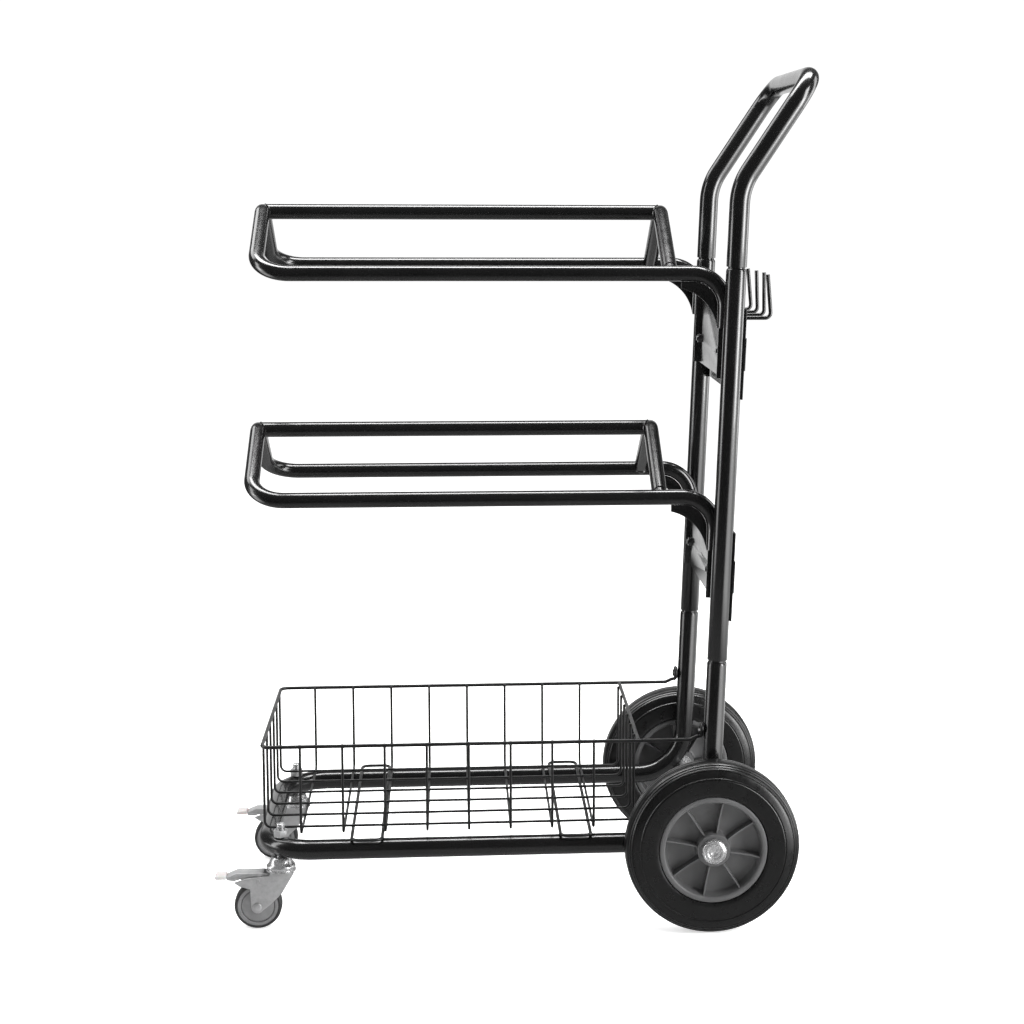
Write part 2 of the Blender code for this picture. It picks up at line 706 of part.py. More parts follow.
def rack_clamp(name, rail_height):
    """The plate behind the uprights, its thicker middle band and the two bolts."""
    front = CLAMP_OFFSET - PLATE_THICKNESS / 2.0
    rear = CLAMP_OFFSET + PLATE_THICKNESS / 2.0
    band = rear + CLAMP_BAND_DEPTH
    middle = -(CLAMP_PLATE_TOP + CLAMP_PLATE_DROP) / 2.0
    low = middle - CLAMP_BAND_HEIGHT / 2.0
    high = middle + CLAMP_BAND_HEIGHT / 2.0
    section = (
        (front, -CLAMP_PLATE_DROP),
        (rear, -CLAMP_PLATE_DROP),
        (rear, low),
        (band, low),
        (band, high),
        (rear, high),
        (rear, -CLAMP_PLATE_TOP),
        (front, -CLAMP_PLATE_TOP),
    )
    width = 2.0 * (FRAME_HALF_SPAN + CLAMP_OVERHANG)
    plate = flat_plate("clamp", section, width, leaning_place(rail_height) @ upright_plane(0.0))
    as_part(plate, f"{name}_rack_clamp_plate", BLACK_COAT)
    seat = band + GAP
    tip = CHANNEL_WEB_FRONT + WELD_NUT_HEIGHT + BOLT_TIP
    for side_name, side in SIDES:
        cut(plate, CUTTERS.objects[f"{name}_bolt_hole_{side_name}"])
        head_start = bolt_place(rail_height, side, -seat)
        head_end = bolt_place(rail_height, side, -seat - BOLT_HEAD_HEIGHT)
        bolt = rod("bolt", head_start, head_end, BOLT_HEAD_RADIUS, 6)
        shank_tip = bolt_place(rail_height, side, tip)
        shank_root = bolt_place(rail_height, side, -seat - BOLT_HEAD_HEIGHT / 2.0)
        shank = rod("shank", shank_tip, shank_root, BOLT_RADIUS, 12)
        weld(bolt, as_cutter(shank, f"{name}_bolt_shank_{side_name}"))
        as_part(bolt, f"{name}_rack_bolt_{side_name}", BLACK_COAT)


def racks():
    for name, rail_height in RAIL_HEIGHTS.items():
        rack_rails(name, rail_height)
        rack_brace(name, rail_height)
        rack_ridge(name, rail_height)
        rack_gussets(name, rail_height)
        rack_mount(name, rail_height)
        rack_clamp(name, rail_height)


def hooks():
    """Two wires, each bent into a pair of hooks, welded to the back of the upper clamp plate."""
    rail_height = RAIL_HEIGHTS["upper"]
    back = CLAMP_OFFSET + PLATE_THICKNESS / 2.0 + GAP + HOOK_WIRE_RADIUS
    root = leaning_place(rail_height, -back) @ Vector((0.0, 0.0, -HOOK_DROP))
    reach = root.x + HOOK_REACH
    height = root.z
    tip = height + HOOK_HEIGHT
    for side_name, side in SIDES:
        near = side * HOOK_PITCH / 2.0
        far = side * HOOK_PITCH * 1.5
        corners = [(reach, near, tip), (reach, near, height), (root.x, near, height),
                   (root.x, far, height), (reach, far, height), (reach, far, tip)]
        bend = HOOK_BEND_RADIUS
        path = rounded_path(corners, (0.0, bend, bend, bend, bend, 0.0), WIRE_BEND_STEP)
        item = tube("hook", [path], HOOK_WIRE_RADIUS, WIRE_SIDES)
        as_part(item, f"hook_pair_{side_name}", BLACK_COAT)


# Basket

def basket_rim():
    """The thick rim wire, which ends in an eye in front of each upright."""
    eye_x = upright_x(EYE_HEIGHT) - FRAME_TUBE_RADIUS / math.cos(UPRIGHT_LEAN)
    eye_x -= RIM_WIRE_RADIUS + 2.0 * GAP
    half = BASKET_HALF_WIDTH
    rise_end = eye_x - 0.006
    rise_start = rise_end - RIM_RISE_RUN
    high = BASKET_HEIGHT + RIM_RISE
    corners = []
    radii = []
    for side in (-1.0, 1.0):
        run = [
            (eye_x, side * half, high),
            (rise_end, side * half, high),
            (rise_start, side * half, BASKET_HEIGHT),
            (-BASKET_FRONT, side * half, BASKET_HEIGHT),
        ]
        bends = [0.0035, 0.006, 0.010, BASKET_CORNER_RADIUS]
        eye = eye_points(eye_x, side)
        run = eye[::-1] + run
        bends = [0.0] * len(eye) + bends
        corners += run if side < 0.0 else run[::-1]
        radii += bends if side < 0.0 else bends[::-1]
    item = tube("rim", [rounded_path(corners, radii, WIRE_BEND_STEP)], RIM_WIRE_RADIUS, WIRE_SIDES)
    as_part(item, "basket_rim_wire", BLACK_WIRE)


def eye_points(eye_x, side):
    """The eye: most of a circle that faces the upright, starting low on its inner side."""
    points = []
    for number in range(10):
        angle = -45.0 + 25.0 * number
        across = EYE_RADIUS * math.cos(math.radians(angle))
        up = EYE_RADIUS * math.sin(math.radians(angle))
        points.append((eye_x, side * (FRAME_HALF_SPAN - across), EYE_HEIGHT + up))
    return points


def basket_grid():
    """Eight cross wires and six long wires, each bent up at both ends and welded on the floor."""
    top = BASKET_HEIGHT + RIM_WIRE_RADIUS / 2.0
    half = BASKET_HALF_WIDTH - WIRE_INSET
    bends = (0.0, WIRE_CORNER_RADIUS, WIRE_CORNER_RADIUS, 0.0)
    cross_paths = []
    for number in range(CROSS_WIRES):
        x = -BASKET_FRONT + FIRST_CROSS_WIRE + CROSS_WIRE_PITCH * number
        floor = CROSS_WIRE_HEIGHT
        corners = [(x, -half, top), (x, -half, floor), (x, half, floor), (x, half, top)]
        cross_paths.append(rounded_path(corners, bends, WIRE_BEND_STEP))
    grid = tube("basket_grid", cross_paths, MESH_WIRE_RADIUS, WIRE_SIDES)
    long_paths = []
    front = -BASKET_FRONT
    under_rim = BASKET_HEIGHT - RIM_WIRE_RADIUS - GAP
    rear = -BASKET_REAR
    for number in range(LONG_WIRES):
        y = LONG_WIRE_PITCH * (number - (LONG_WIRES - 1) / 2.0)
        floor = LONG_WIRE_HEIGHT
        corners = [(front, y, under_rim), (front, y, floor), (rear, y, floor), (rear, y, top)]
        long_paths.append(rounded_path(corners, bends, WIRE_BEND_STEP))
    long_wires = tube("long_wires", long_paths, MESH_WIRE_RADIUS, WIRE_SIDES)
    weld(grid, as_cutter(long_wires, "basket_long_wires"))
    bar_x = rear + MESH_WIRE_RADIUS + RIM_WIRE_RADIUS - WELD_DEPTH
    bar_end = BASKET_HALF_WIDTH - 2.0 * RIM_WIRE_RADIUS - GAP
    bar_path = [(bar_x, -bar_end, BASKET_HEIGHT), (bar_x, bar_end, BASKET_HEIGHT)]
    bar = tube("rear_bar", [bar_path], RIM_WIRE_RADIUS, WIRE_SIDES)
    weld(grid, as_cutter(bar, "basket_rear_bar"))
    as_part(grid, "basket_grid", BLACK_WIRE)


def basket_supports():
    """Two closed wire loops that lie across the base tubes and carry the basket's floor."""
    half_length = FRAME_HALF_SPAN + SUPPORT_OVERHANG
    half_width = SUPPORT_WIDTH / 2.0
    radii = (SUPPORT_CORNER_RADIUS,) * 4
    for name, share in SUPPORT_PLACES.items():
        place = share * BASE_REACH
        corners = [
            (-place - half_width, -half_length, SUPPORT_HEIGHT),
            (-place + half_width, -half_length, SUPPORT_HEIGHT),
            (-place + half_width, half_length, SUPPORT_HEIGHT),
            (-place - half_width, half_length, SUPPORT_HEIGHT),
        ]
        path = rounded_path(corners, radii, WIRE_BEND_STEP, closed=True)
        item = tube("support", [path], SUPPORT_WIRE_RADIUS, WIRE_SIDES, closed=True)
        as_part(item, f"basket_support_{name}", BLACK_WIRE)


def basket_screws():
    """A screw through each eye into the upright behind it."""
    eye_front = upright_x(EYE_HEIGHT) - FRAME_TUBE_RADIUS / math.cos(UPRIGHT_LEAN)
    eye_front -= 2.0 * RIM_WIRE_RADIUS + 3.0 * GAP
    for side_name, side in SIDES:
        y = side * FRAME_HALF_SPAN
        matrix = Matrix.Translation((eye_front, y, EYE_HEIGHT)) @ Matrix.Rotation(
            math.radians(-90.0), 4, "Y")
        profile = (
            (0.0, SCREW_HEAD_HEIGHT),
            (SCREW_HEAD_RADIUS * 0.6, SCREW_HEAD_HEIGHT * 0.8),
            (SCREW_HEAD_RADIUS, 0.0),
            (SCREW_RADIUS, 0.0),
            (SCREW_RADIUS, -SCREW_LENGTH),
            (0.0, -SCREW_LENGTH),
        )
        item = turned("screw", profile, 12, matrix)
        as_part(item, f"basket_screw_{side_name}", BLACK_COAT)


# Rear wheels

def axle():
    reach = wheel_outer_face() + CAP_HEIGHT - CAP_FLOOR - GAP
    item = rod("axle", (0.0, -reach, AXLE_HEIGHT), (0.0, reach, AXLE_HEIGHT), AXLE_RADIUS)
    as_part(item, "rear_axle", ZINC)


def wheel_outer_face():
    return WHEEL_CENTRE_Y + TYRE_HALF_WIDTH


def axle_washers():
    """A washer on the axle between each frame tube and its wheel."""
    start = FRAME_HALF_SPAN + FRAME_TUBE_RADIUS + GAP
    bore = AXLE_RADIUS + HOLE_PLAY
    profile = (
        (bore, WASHER_THICKNESS),
        (WASHER_RADIUS, WASHER_THICKNESS),
        (WASHER_RADIUS, 0.0),
        (bore, 0.0),
    )
    for side_name, side in SIDES:
        matrix = outward_axis(side, 0.0, side * start, AXLE_HEIGHT)
        item = turned("washer", profile, SMALL_STEPS, matrix, closed=True)
        as_part(item, f"axle_washer_{side_name}", ZINC)


def tyre_profile():
    inner = RIM_RADIUS + GAP
    half = TYRE_HALF_WIDTH
    upper = [
        (inner, RIM_HALF_WIDTH - 0.0005),
        (inner + 0.006, half),
        (TYRE_WALL_RADIUS, half),
        (TYRE_SHOULDER_RADIUS, half - 0.0045),
        (WHEEL_RADIUS, TYRE_CROWN_HALF_WIDTH),
    ]
    return upper + [(radius, -height) for radius, height in reversed(upper)]


def hub_profile():
    """A rim, a thin web and a boss with a running bore, as one closed loop."""
    bore = AXLE_RADIUS + HOLE_PLAY
    web = HUB_WEB_HALF_THICKNESS
    upper = [
        (bore, TYRE_HALF_WIDTH - GAP),
        (HUB_BOSS_RADIUS, TYRE_HALF_WIDTH - GAP),
        (HUB_BOSS_RADIUS, web),
        (RIM_INNER_RADIUS, web),
        (RIM_INNER_RADIUS, RIM_HALF_WIDTH),
        (RIM_RADIUS, RIM_HALF_WIDTH),
    ]
    return upper + [(radius, -height) for radius, height in reversed(upper)]


def cap_profile():
    socket = AXLE_RADIUS + HOLE_PLAY
    return (
        (0.0, CAP_HEIGHT),
        (CAP_RADIUS * 0.62, CAP_HEIGHT),
        (CAP_RADIUS * 0.90, CAP_HEIGHT * 0.75),
        (CAP_RADIUS, CAP_HEIGHT * 0.30),
        (CAP_RADIUS, 0.0),
        (socket, 0.0),
        (socket, CAP_HEIGHT - CAP_FLOOR),
        (0.0, CAP_HEIGHT - CAP_FLOOR),
    )


def hub_ribs(matrix):
    """Thin ribs from the boss to the rim, which sink a little into both."""
    mesh_data = bmesh.new()
    start = HUB_BOSS_RADIUS - 0.002
    end = RIM_INNER_RADIUS + 0.002
    size = Vector((end - start, HUB_RIB_THICKNESS, 2.0 * HUB_RIB_HALF_WIDTH))
    for number in range(HUB_RIBS):
        made = bmesh.ops.create_cube(mesh_data, size=1.0)
        bmesh.ops.scale(mesh_data, vec=size, verts=made["verts"])
        bmesh.ops.translate(mesh_data, vec=((start + end) / 2.0, 0.0, 0.0), verts=made["verts"])
        turn = Matrix.Rotation(2.0 * math.pi * (number - 0.25) / HUB_RIBS, 3, "Z")
        bmesh.ops.rotate(mesh_data, matrix=turn, verts=made["verts"])
    item = object_from_bmesh(mesh_data, "ribs")
    item.matrix_world = matrix
    return item


def rear_wheels():
    for side_name, side in SIDES:
        matrix = outward_axis(side, 0.0, side * WHEEL_CENTRE_Y, AXLE_HEIGHT)
        tyre = turned("tyre", tyre_profile(), WHEEL_STEPS, matrix, closed=True)
        as_part(tyre, f"rear_tyre_{side_name}", RUBBER)
        hub = turned("hub", hub_profile(), WHEEL_STEPS, matrix, closed=True)
        weld(hub, as_cutter(hub_ribs(matrix), f"hub_ribs_{side_name}"))
        as_part(hub, f"rear_hub_{side_name}", GREY_PLASTIC)
        cap_y = side * (wheel_outer_face() + GAP)
        cap = turned("cap", cap_profile(), SMALL_STEPS, outward_axis(side, 0.0, cap_y, AXLE_HEIGHT))
        as_part(cap, f"axle_cap_{side_name}", ZINC)


# Casters

def stem_profile():
    """Threaded stem, ball-race dome and the rivet that holds the fork, top to bottom."""
    top = BASE_TOP + STEM_ABOVE_TUBE
    shelf = BASE_BOTTOM - GAP
    race = FORK_TOP + GAP
    under_plate = FORK_TOP - FORK_SHEET - GAP
    return (
        (0.0, top),
        (STEM_RADIUS - 0.001, top),
        (STEM_RADIUS, top - 0.001),
        (STEM_RADIUS, shelf),
        (RACE_RADIUS * 0.55, shelf),
        (RACE_RADIUS * 0.75, shelf - 0.003),
        (RACE_RADIUS, race + 0.006),
        (RACE_RADIUS, race),
        (RIVET_RADIUS, race),
        (RIVET_RADIUS, under_plate),
        (RIVET_RADIUS * 1.8, under_plate),
        (RIVET_RADIUS * 1.8, under_plate - 0.002),
        (0.0, under_plate - 0.002),
    )


def fork_outline():
    """One cheek of the fork, from above the tread, round the axle and up to the top plate."""
    low = CASTER_RADIUS
    trail = CASTER_TRAIL
    top = FORK_TOP
    ear = arc((-trail, low), FORK_EAR_RADIUS, 185.0, 330.0, 6)
    return [
        (0.0205, top - FORK_SHEET / 2.0),
        (-0.0140, top - FORK_SHEET / 2.0),
        (-0.0180, top - 0.0065),
        (-0.0500, top - 0.0090),
        (-0.0690, top - 0.0150),
        (-0.0610, top - 0.0210),
        (-0.0450, top - 0.0255),
    ] + ear + [
        (-0.0150, low + 0.0038),
        (0.0020, low + 0.0208),
    ]


def pedal_outline():
    """The pedal's lever and the lug that hangs from it to the pivot."""
    under = FORK_TOP - 0.0047
    pivot = PEDAL_PIVOT_X
    lug = PEDAL_LUG
    foot = PEDAL_PIVOT_Z - lug + 0.001
    return [
        (-0.0260, FORK_TOP - 0.0025),
        (-0.0660, FORK_TOP - 0.0025),
        (-0.0800, FORK_TOP - 0.0085),
        (-0.0800, FORK_TOP - 0.0105),
        (-0.0660, under),
        (pivot - lug, under - 0.0002),
        (pivot - lug, foot),
        (pivot + lug, foot),
        (pivot + lug, under - 0.0004),
        (-0.0260, under),
    ]


def caster_axis(x, z, side):
    return Vector((CASTER_X + x, side * CASTER_Y, z))


def fork(side_name, side):
    middle = side * CASTER_Y
    top_plate = rod(
        "fork",
        caster_axis(0.0, FORK_TOP - FORK_SHEET, side),
        caster_axis(0.0, FORK_TOP, side),
        FORK_PLATE_RADIUS,
    )
    for number, hand in enumerate((-1.0, 1.0)):
        y = middle + hand * (FORK_HALF_GAP + FORK_SHEET / 2.0)
        matrix = upright_plane(CASTER_X, y)
        cheek = flat_plate("cheek", fork_outline(), FORK_SHEET, matrix)
        weld(top_plate, as_cutter(cheek, f"fork_cheek_{side_name}_{number}"))
    bores = (
        ("rivet", (0.0, 0.0, FORK_TOP - 0.01), (0.0, 0.0, FORK_TOP + 0.01), RIVET_RADIUS),
        ("axle", (-CASTER_TRAIL, -0.03, CASTER_RADIUS), (-CASTER_TRAIL, 0.03, CASTER_RADIUS),
         CASTER_BOLT_RADIUS),
        ("pin", (PEDAL_PIVOT_X, -0.03, PEDAL_PIVOT_Z), (PEDAL_PIVOT_X, 0.03, PEDAL_PIVOT_Z),
         PEDAL_PIN_RADIUS),
    )
    place = Vector((CASTER_X, middle, 0.0))
    for name, start, end, radius in bores:
        hole = rod("hole", place + Vector(start), place + Vector(end), radius + HOLE_PLAY, 12)
        cut(top_plate, as_cutter(hole, f"fork_{name}_hole_{side_name}"))
    as_part(top_plate, f"caster_fork_{side_name}", ZINC)


def caster_wheel(side_name, side):
    matrix = outward_axis(side, CASTER_X - CASTER_TRAIL, side * CASTER_Y, CASTER_RADIUS)
    half = CASTER_HALF_WIDTH
    inner = CASTER_CORE_RADIUS + GAP
    tread = (
        (inner, half - 0.001),
        (CASTER_RADIUS - 0.004, half - 0.001),
        (CASTER_RADIUS, half - 0.005),
        (CASTER_RADIUS, 0.005 - half),
        (CASTER_RADIUS - 0.004, 0.001 - half),
        (inner, 0.001 - half),
    )
    as_part(turned("tread", tread, SMALL_STEPS, matrix, closed=True),
            f"caster_tread_{side_name}", CASTER_TREAD)
    bore = CASTER_BOLT_RADIUS + HOLE_PLAY
    core = (
        (bore, half + 0.0012),
        (0.0090, half + 0.0012),
        (0.0110, half - 0.002),
        (CASTER_CORE_RADIUS, half - 0.002),
        (CASTER_CORE_RADIUS, 0.002 - half),
        (0.0110, 0.002 - half),
        (0.0090, -half - 0.0012),
        (bore, -half - 0.0012),
    )
    as_part(turned("core", core, SMALL_STEPS, matrix, closed=True),
            f"caster_core_{side_name}", CASTER_CORE)
    cheek = FORK_HALF_GAP + FORK_SHEET + GAP
    bolt = (
        (0.0, cheek + CASTER_BOLT_HEAD_HEIGHT),
        (CASTER_BOLT_HEAD_RADIUS * 0.8, cheek + CASTER_BOLT_HEAD_HEIGHT),
        (CASTER_BOLT_HEAD_RADIUS, cheek + CASTER_BOLT_HEAD_HEIGHT * 0.6),
        (CASTER_BOLT_HEAD_RADIUS, cheek),
        (CASTER_BOLT_RADIUS, cheek),
        (CASTER_BOLT_RADIUS, -cheek),
        (CASTER_BOLT_HEAD_RADIUS, -cheek),
        (CASTER_BOLT_HEAD_RADIUS, -cheek - CASTER_BOLT_HEAD_HEIGHT),
        (0.0, -cheek - CASTER_BOLT_HEAD_HEIGHT),
    )
    as_part(turned("bolt", bolt, 12, matrix), f"caster_axle_bolt_{side_name}", ZINC)


def pedal(side_name, side):
    middle = side * CASTER_Y
    matrix = upright_plane(CASTER_X, middle)
    lever = flat_plate("pedal", pedal_outline(), 2.0 * PEDAL_HALF_WIDTH, matrix)
    place = Vector((CASTER_X + PEDAL_PIVOT_X, middle, PEDAL_PIVOT_Z))
    reach = Vector((0.0, FORK_HALF_GAP + FORK_SHEET, 0.0))
    pin = rod("pin", place - reach, place + reach, PEDAL_PIN_RADIUS, 12)
    weld(lever, as_cutter(pin, f"pedal_pin_{side_name}"))
    as_part(lever, f"brake_pedal_{side_name}", ZINC)
    tab = box(
        "tab",
        (CASTER_X - 0.0970, middle - TAB_HALF_WIDTH, FORK_TOP - 0.0120),
        (CASTER_X - 0.0803, middle + TAB_HALF_WIDTH, FORK_TOP - 0.0055),
    )
    edge = tab.modifiers.new("round", "BEVEL")
    edge.width = 0.0015
    edge.segments = 1
    as_part(tab, f"brake_tab_{side_name}", WHITE_TAB)


def stem_nut(side_name, side):
    start = caster_axis(0.0, BASE_TOP + GAP, side)
    end = caster_axis(0.0, BASE_TOP + GAP + STEM_NUT_HEIGHT, side)
    nut = rod("nut", start, end, STEM_NUT_RADIUS, 6)
    cut(nut, CUTTERS.objects[f"stem_hole_{side_name}"])
    as_part(nut, f"caster_nut_{side_name}", ZINC)


def casters():
    for side_name, side in SIDES:
        place = Matrix.Translation((CASTER_X, side * CASTER_Y, 0.0))
        stem = turned("stem", stem_profile(), SMALL_STEPS, place)
        as_part(stem, f"caster_stem_{side_name}", ZINC)
        fork(side_name, side)
        caster_wheel(side_name, side)
        pedal(side_name, side)
        stem_nut(side_name, side)


# Origin

def world_bounds():
    graph = bpy.context.evaluated_depsgraph_get()
    low = Vector((math.inf,) * 3)
    high = Vector((-math.inf,) * 3)
    for item in PARTS.objects:
        shape = item.evaluated_get(graph)
        for corner in shape.bound_box:
            place = shape.matrix_world @ Vector(corner)
            low = Vector(min(pair) for pair in zip(low, place))
            high = Vector(max(pair) for pair in zip(high, place))
    return low, high


def centre_on_footprint():
    """Moves every piece so that X = 0 is the middle of the cart's length."""
    bpy.context.view_layer.update()
    low, high = world_bounds()
    shift = Matrix.Translation((-(low.x + high.x) / 2.0, 0.0, 0.0))
    for item in list(PARTS.objects) + list(CUTTERS.objects):
        item.matrix_world = shift @ item.matrix_world
    print("rear axle at x =", round(shift.translation.x, 6))
    print("caster axes at x =", round(shift.translation.x + CASTER_X, 6), "y =", round(CASTER_Y, 6))


base_frame()
mid_uprights()
handle()
racks()
hooks()
basket_rim()
basket_grid()
basket_supports()
basket_screws()
axle()
axle_washers()
rear_wheels()
casters()
centre_on_footprint()
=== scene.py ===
import math

import bpy
from mathutils import Matrix, Vector


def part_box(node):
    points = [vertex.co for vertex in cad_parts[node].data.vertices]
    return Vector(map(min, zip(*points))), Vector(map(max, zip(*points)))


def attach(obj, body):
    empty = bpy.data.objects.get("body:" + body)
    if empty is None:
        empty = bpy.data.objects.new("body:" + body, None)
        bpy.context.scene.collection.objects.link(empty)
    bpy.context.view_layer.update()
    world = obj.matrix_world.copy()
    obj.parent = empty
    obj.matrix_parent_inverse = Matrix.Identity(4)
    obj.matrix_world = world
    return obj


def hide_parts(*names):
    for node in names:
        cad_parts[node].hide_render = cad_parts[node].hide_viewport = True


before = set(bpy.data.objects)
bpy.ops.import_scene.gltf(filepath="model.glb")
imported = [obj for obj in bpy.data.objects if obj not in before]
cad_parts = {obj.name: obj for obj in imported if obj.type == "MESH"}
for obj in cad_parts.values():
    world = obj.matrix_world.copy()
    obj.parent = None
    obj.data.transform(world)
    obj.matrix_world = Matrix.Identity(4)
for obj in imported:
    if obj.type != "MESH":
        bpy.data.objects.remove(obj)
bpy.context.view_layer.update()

SIDES = (("left", -1.0), ("right", 1.0))

# Frame tubes
AXLE_X = (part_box("rear_axle")[0][0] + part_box("rear_axle")[1][0]) / 2.0
AXLE_Z = 0.130
TUBE_R = 0.0150
TUBE_WALL = 0.0015
HALF_SPAN = 0.1812
LEAN = math.radians(2.25)
BASE_Z = 0.1235
BASE_FRONT = AXLE_X - 0.660
BASE_CORNER = 0.0720
HEEL_BEND = 0.0767
LOWER_JOINT = 0.4020
UPPER_JOINT = 0.9850
SPIGOT_R = 0.0126
SPIGOT_DEPTH = 0.0450
JOINT_GROOVE = 0.0024
SHOULDER = 0.0046
HANDLE_BEND_Z = 1.1020
HANDLE_RAKE = math.radians(33.5)
HANDLE_TOP = 1.2600
HANDLE_BEND = 0.0900
HANDLE_CORNER = 0.0480

# Racks
RACK_R = 0.0115
RACK_HALF = 0.156336
RACK_REACH = 0.6855
BRACE_REACH = 0.0840
LEG_FORWARD = 0.0100
LEG_DROP = 0.0800
V_RISE = 0.0905
V_BEND = 0.0300
RIDGE_RISE = 0.08584
FRONT_BEND = 0.0500
REAR_BEND = 0.0485
RACKS = {"lower": 0.6435, "upper": 0.9745}
RACK_WALL = 0.0012
SEAT = 0.0035            # how far a welded tube's end sinks into the tube it meets
WELD_R = 0.0011
WELD_STAND_OFF = 1.01    # of the tube's radius
WELD_LOWEST = 0.35       # of the tube's radius
GUSSET_ARC = 0.068
GUSSET_THICKNESS = 0.0025

# Hooks
GAP = 0.0003
PLATE = 0.003
HOOK_WIRE = 0.003
HOOK_DROP = 0.068
HOOK_REACH = 0.045
HOOK_HEIGHT = 0.065
HOOK_BEND = 0.008
HOOK_NEAR = 0.0345
HOOK_FAR = 0.1035
HOOK_LEANS = {"left": (0.0008, 0.0056), "right": (0.0024, 0.0058)}

# Basket
RIM_Z = 0.2800
RIM_Y = 0.1800
RIM_WIRE = 0.0028
MESH_WIRE = 0.0020
BASKET_FRONT = AXLE_X - 0.6630
BASKET_REAR = AXLE_X - 0.1105
CROSS_PITCH = 0.062125
FIRST_CROSS = 0.0555
LONG_PITCH = 0.0590
CROSS_FLOOR = 0.14585
LONG_FLOOR = 0.14875
EYE_Z = 0.2952
EYE_R = 0.0085
BASE_REACH = 0.660
SUPPORT_WIRE = 0.0025
SUPPORT_BEND = 0.012
SUPPORT_SHARES = {"front": 0.773, "rear": 0.304}     # of the base's reach
WELD_SPOT_R = 0.0023
CROSS_WIRES = 8
LONG_WIRES = 6

# Wheels
WHEEL_Y = 0.2239
HUB_RIBS = 8
RIB_PHASE = math.radians(-11.25)
RIB_INNER = 0.0236
RIB_OUTER = 0.0722
RIB_THICKNESS = 0.0022
RIB_DEPTH = 0.0400
RIB_DIP = 0.0032
RIB_DRAFT = 0.35
CAP_STAND_OFF = 0.0258
CASTER_X = -0.349818
CASTER_Y = 0.160112
CASTER_AXLE_X = CASTER_X - 0.0344
CASTER_R = 0.0352
FORK_TOP = 0.0885
LEVER_PIVOT = (0.0330, 0.0140)       # ahead of the stem, below the fork's top
LEVER_HALF_WIDTH = 0.0111
LEVER_SHEET = 0.0012
BASE_TOP = BASE_Z + TUBE_R

# Facets
TUBE_SIDES = 48
RACK_SIDES = 36
WIRE_SIDES = 14
BEND_STEP = math.radians(4.0)
WIRE_STEP = math.radians(10.0)
SMOOTH_ANGLE = math.radians(38.0)
BEAD_POINTS = 28
TIP_STEP = 0.2           # of a wire's radius, from its capped end to its first ring
TOUCHING = 1e-5          # two points closer than this are one


# Finishes

class Recipe:
    """One node material, mixed in layers on Object coordinates."""

    def __init__(self, name):
        self.material = bpy.data.materials.new(name)
        self.material.use_nodes = True
        self.tree = self.material.node_tree
        self.shader = self.tree.nodes["Principled BSDF"]
        self.place = self.tree.nodes.new("ShaderNodeTexCoord").outputs["Object"]
        self.height = None

    def noise(self, scale, detail=3.0, rough=0.5, stretch=None):
        place = self.place
        if stretch is not None:
            mapping = self.tree.nodes.new("ShaderNodeMapping")
            mapping.inputs["Scale"].default_value = stretch
            self.tree.links.new(place, mapping.inputs["Vector"])
            place = mapping.outputs["Vector"]
        node = self.tree.nodes.new("ShaderNodeTexNoise")
        node.inputs["Scale"].default_value = scale
        node.inputs["Detail"].default_value = detail
        node.inputs["Roughness"].default_value = rough
        self.tree.links.new(place, node.inputs["Vector"])
        return node.outputs["Fac"]

    def grains(self, scale):
        node = self.tree.nodes.new("ShaderNodeTexVoronoi")
        node.inputs["Scale"].default_value = scale
        self.tree.links.new(self.place, node.inputs["Vector"])
        return node.outputs["Distance"]

    def spread(self, source, low, high, to_low=0.0, to_high=1.0):
        node = self.tree.nodes.new("ShaderNodeMapRange")
        node.inputs["From Min"].default_value = low
        node.inputs["From Max"].default_value = high
        node.inputs["To Min"].default_value = to_low
        node.inputs["To Max"].default_value = to_high
        self.tree.links.new(source, node.inputs["Value"])
        return node.outputs["Result"]

    def shades(self, source, stops):
        node = self.tree.nodes.new("ShaderNodeValToRGB")
        ramp = node.color_ramp
        while len(ramp.elements) < len(stops):
            ramp.elements.new(0.5)
        for element, (place, shade) in zip(ramp.elements, stops):
            element.position = place
            element.color = (shade[0], shade[1], shade[2], 1.0)
        self.tree.links.new(source, node.inputs["Fac"])
        return node.outputs["Color"]

    def multiply(self, first, second, amount=1.0):
        node = self.tree.nodes.new("ShaderNodeMix")
        node.data_type = "RGBA"
        node.blend_type = "MULTIPLY"
        node.inputs["Factor"].default_value = amount
        self.tree.links.new(first, node.inputs["A"])
        self.tree.links.new(second, node.inputs["B"])
        return node.outputs["Result"]

    def colour(self, source):
        self.tree.links.new(source, self.shader.inputs["Base Color"])

    def roughness(self, source, low, high):
        link = self.spread(source, 0.3, 0.7, low, high)
        self.tree.links.new(link, self.shader.inputs["Roughness"])

    def bump(self, source, depth, strength=1.0):
        node = self.tree.nodes.new("ShaderNodeBump")
        node.inputs["Distance"].default_value = depth
        node.inputs["Strength"].default_value = strength
        self.tree.links.new(source, node.inputs["Height"])
        if self.height is not None:
            self.tree.links.new(self.height, node.inputs["Normal"])
        self.height = node.outputs["Normal"]
        self.tree.links.new(self.height, self.shader.inputs["Normal"])

    def fixed(self, **values):
        for socket, value in values.items():
            self.shader.inputs[socket.replace("_", " ")].default_value = value
        return self


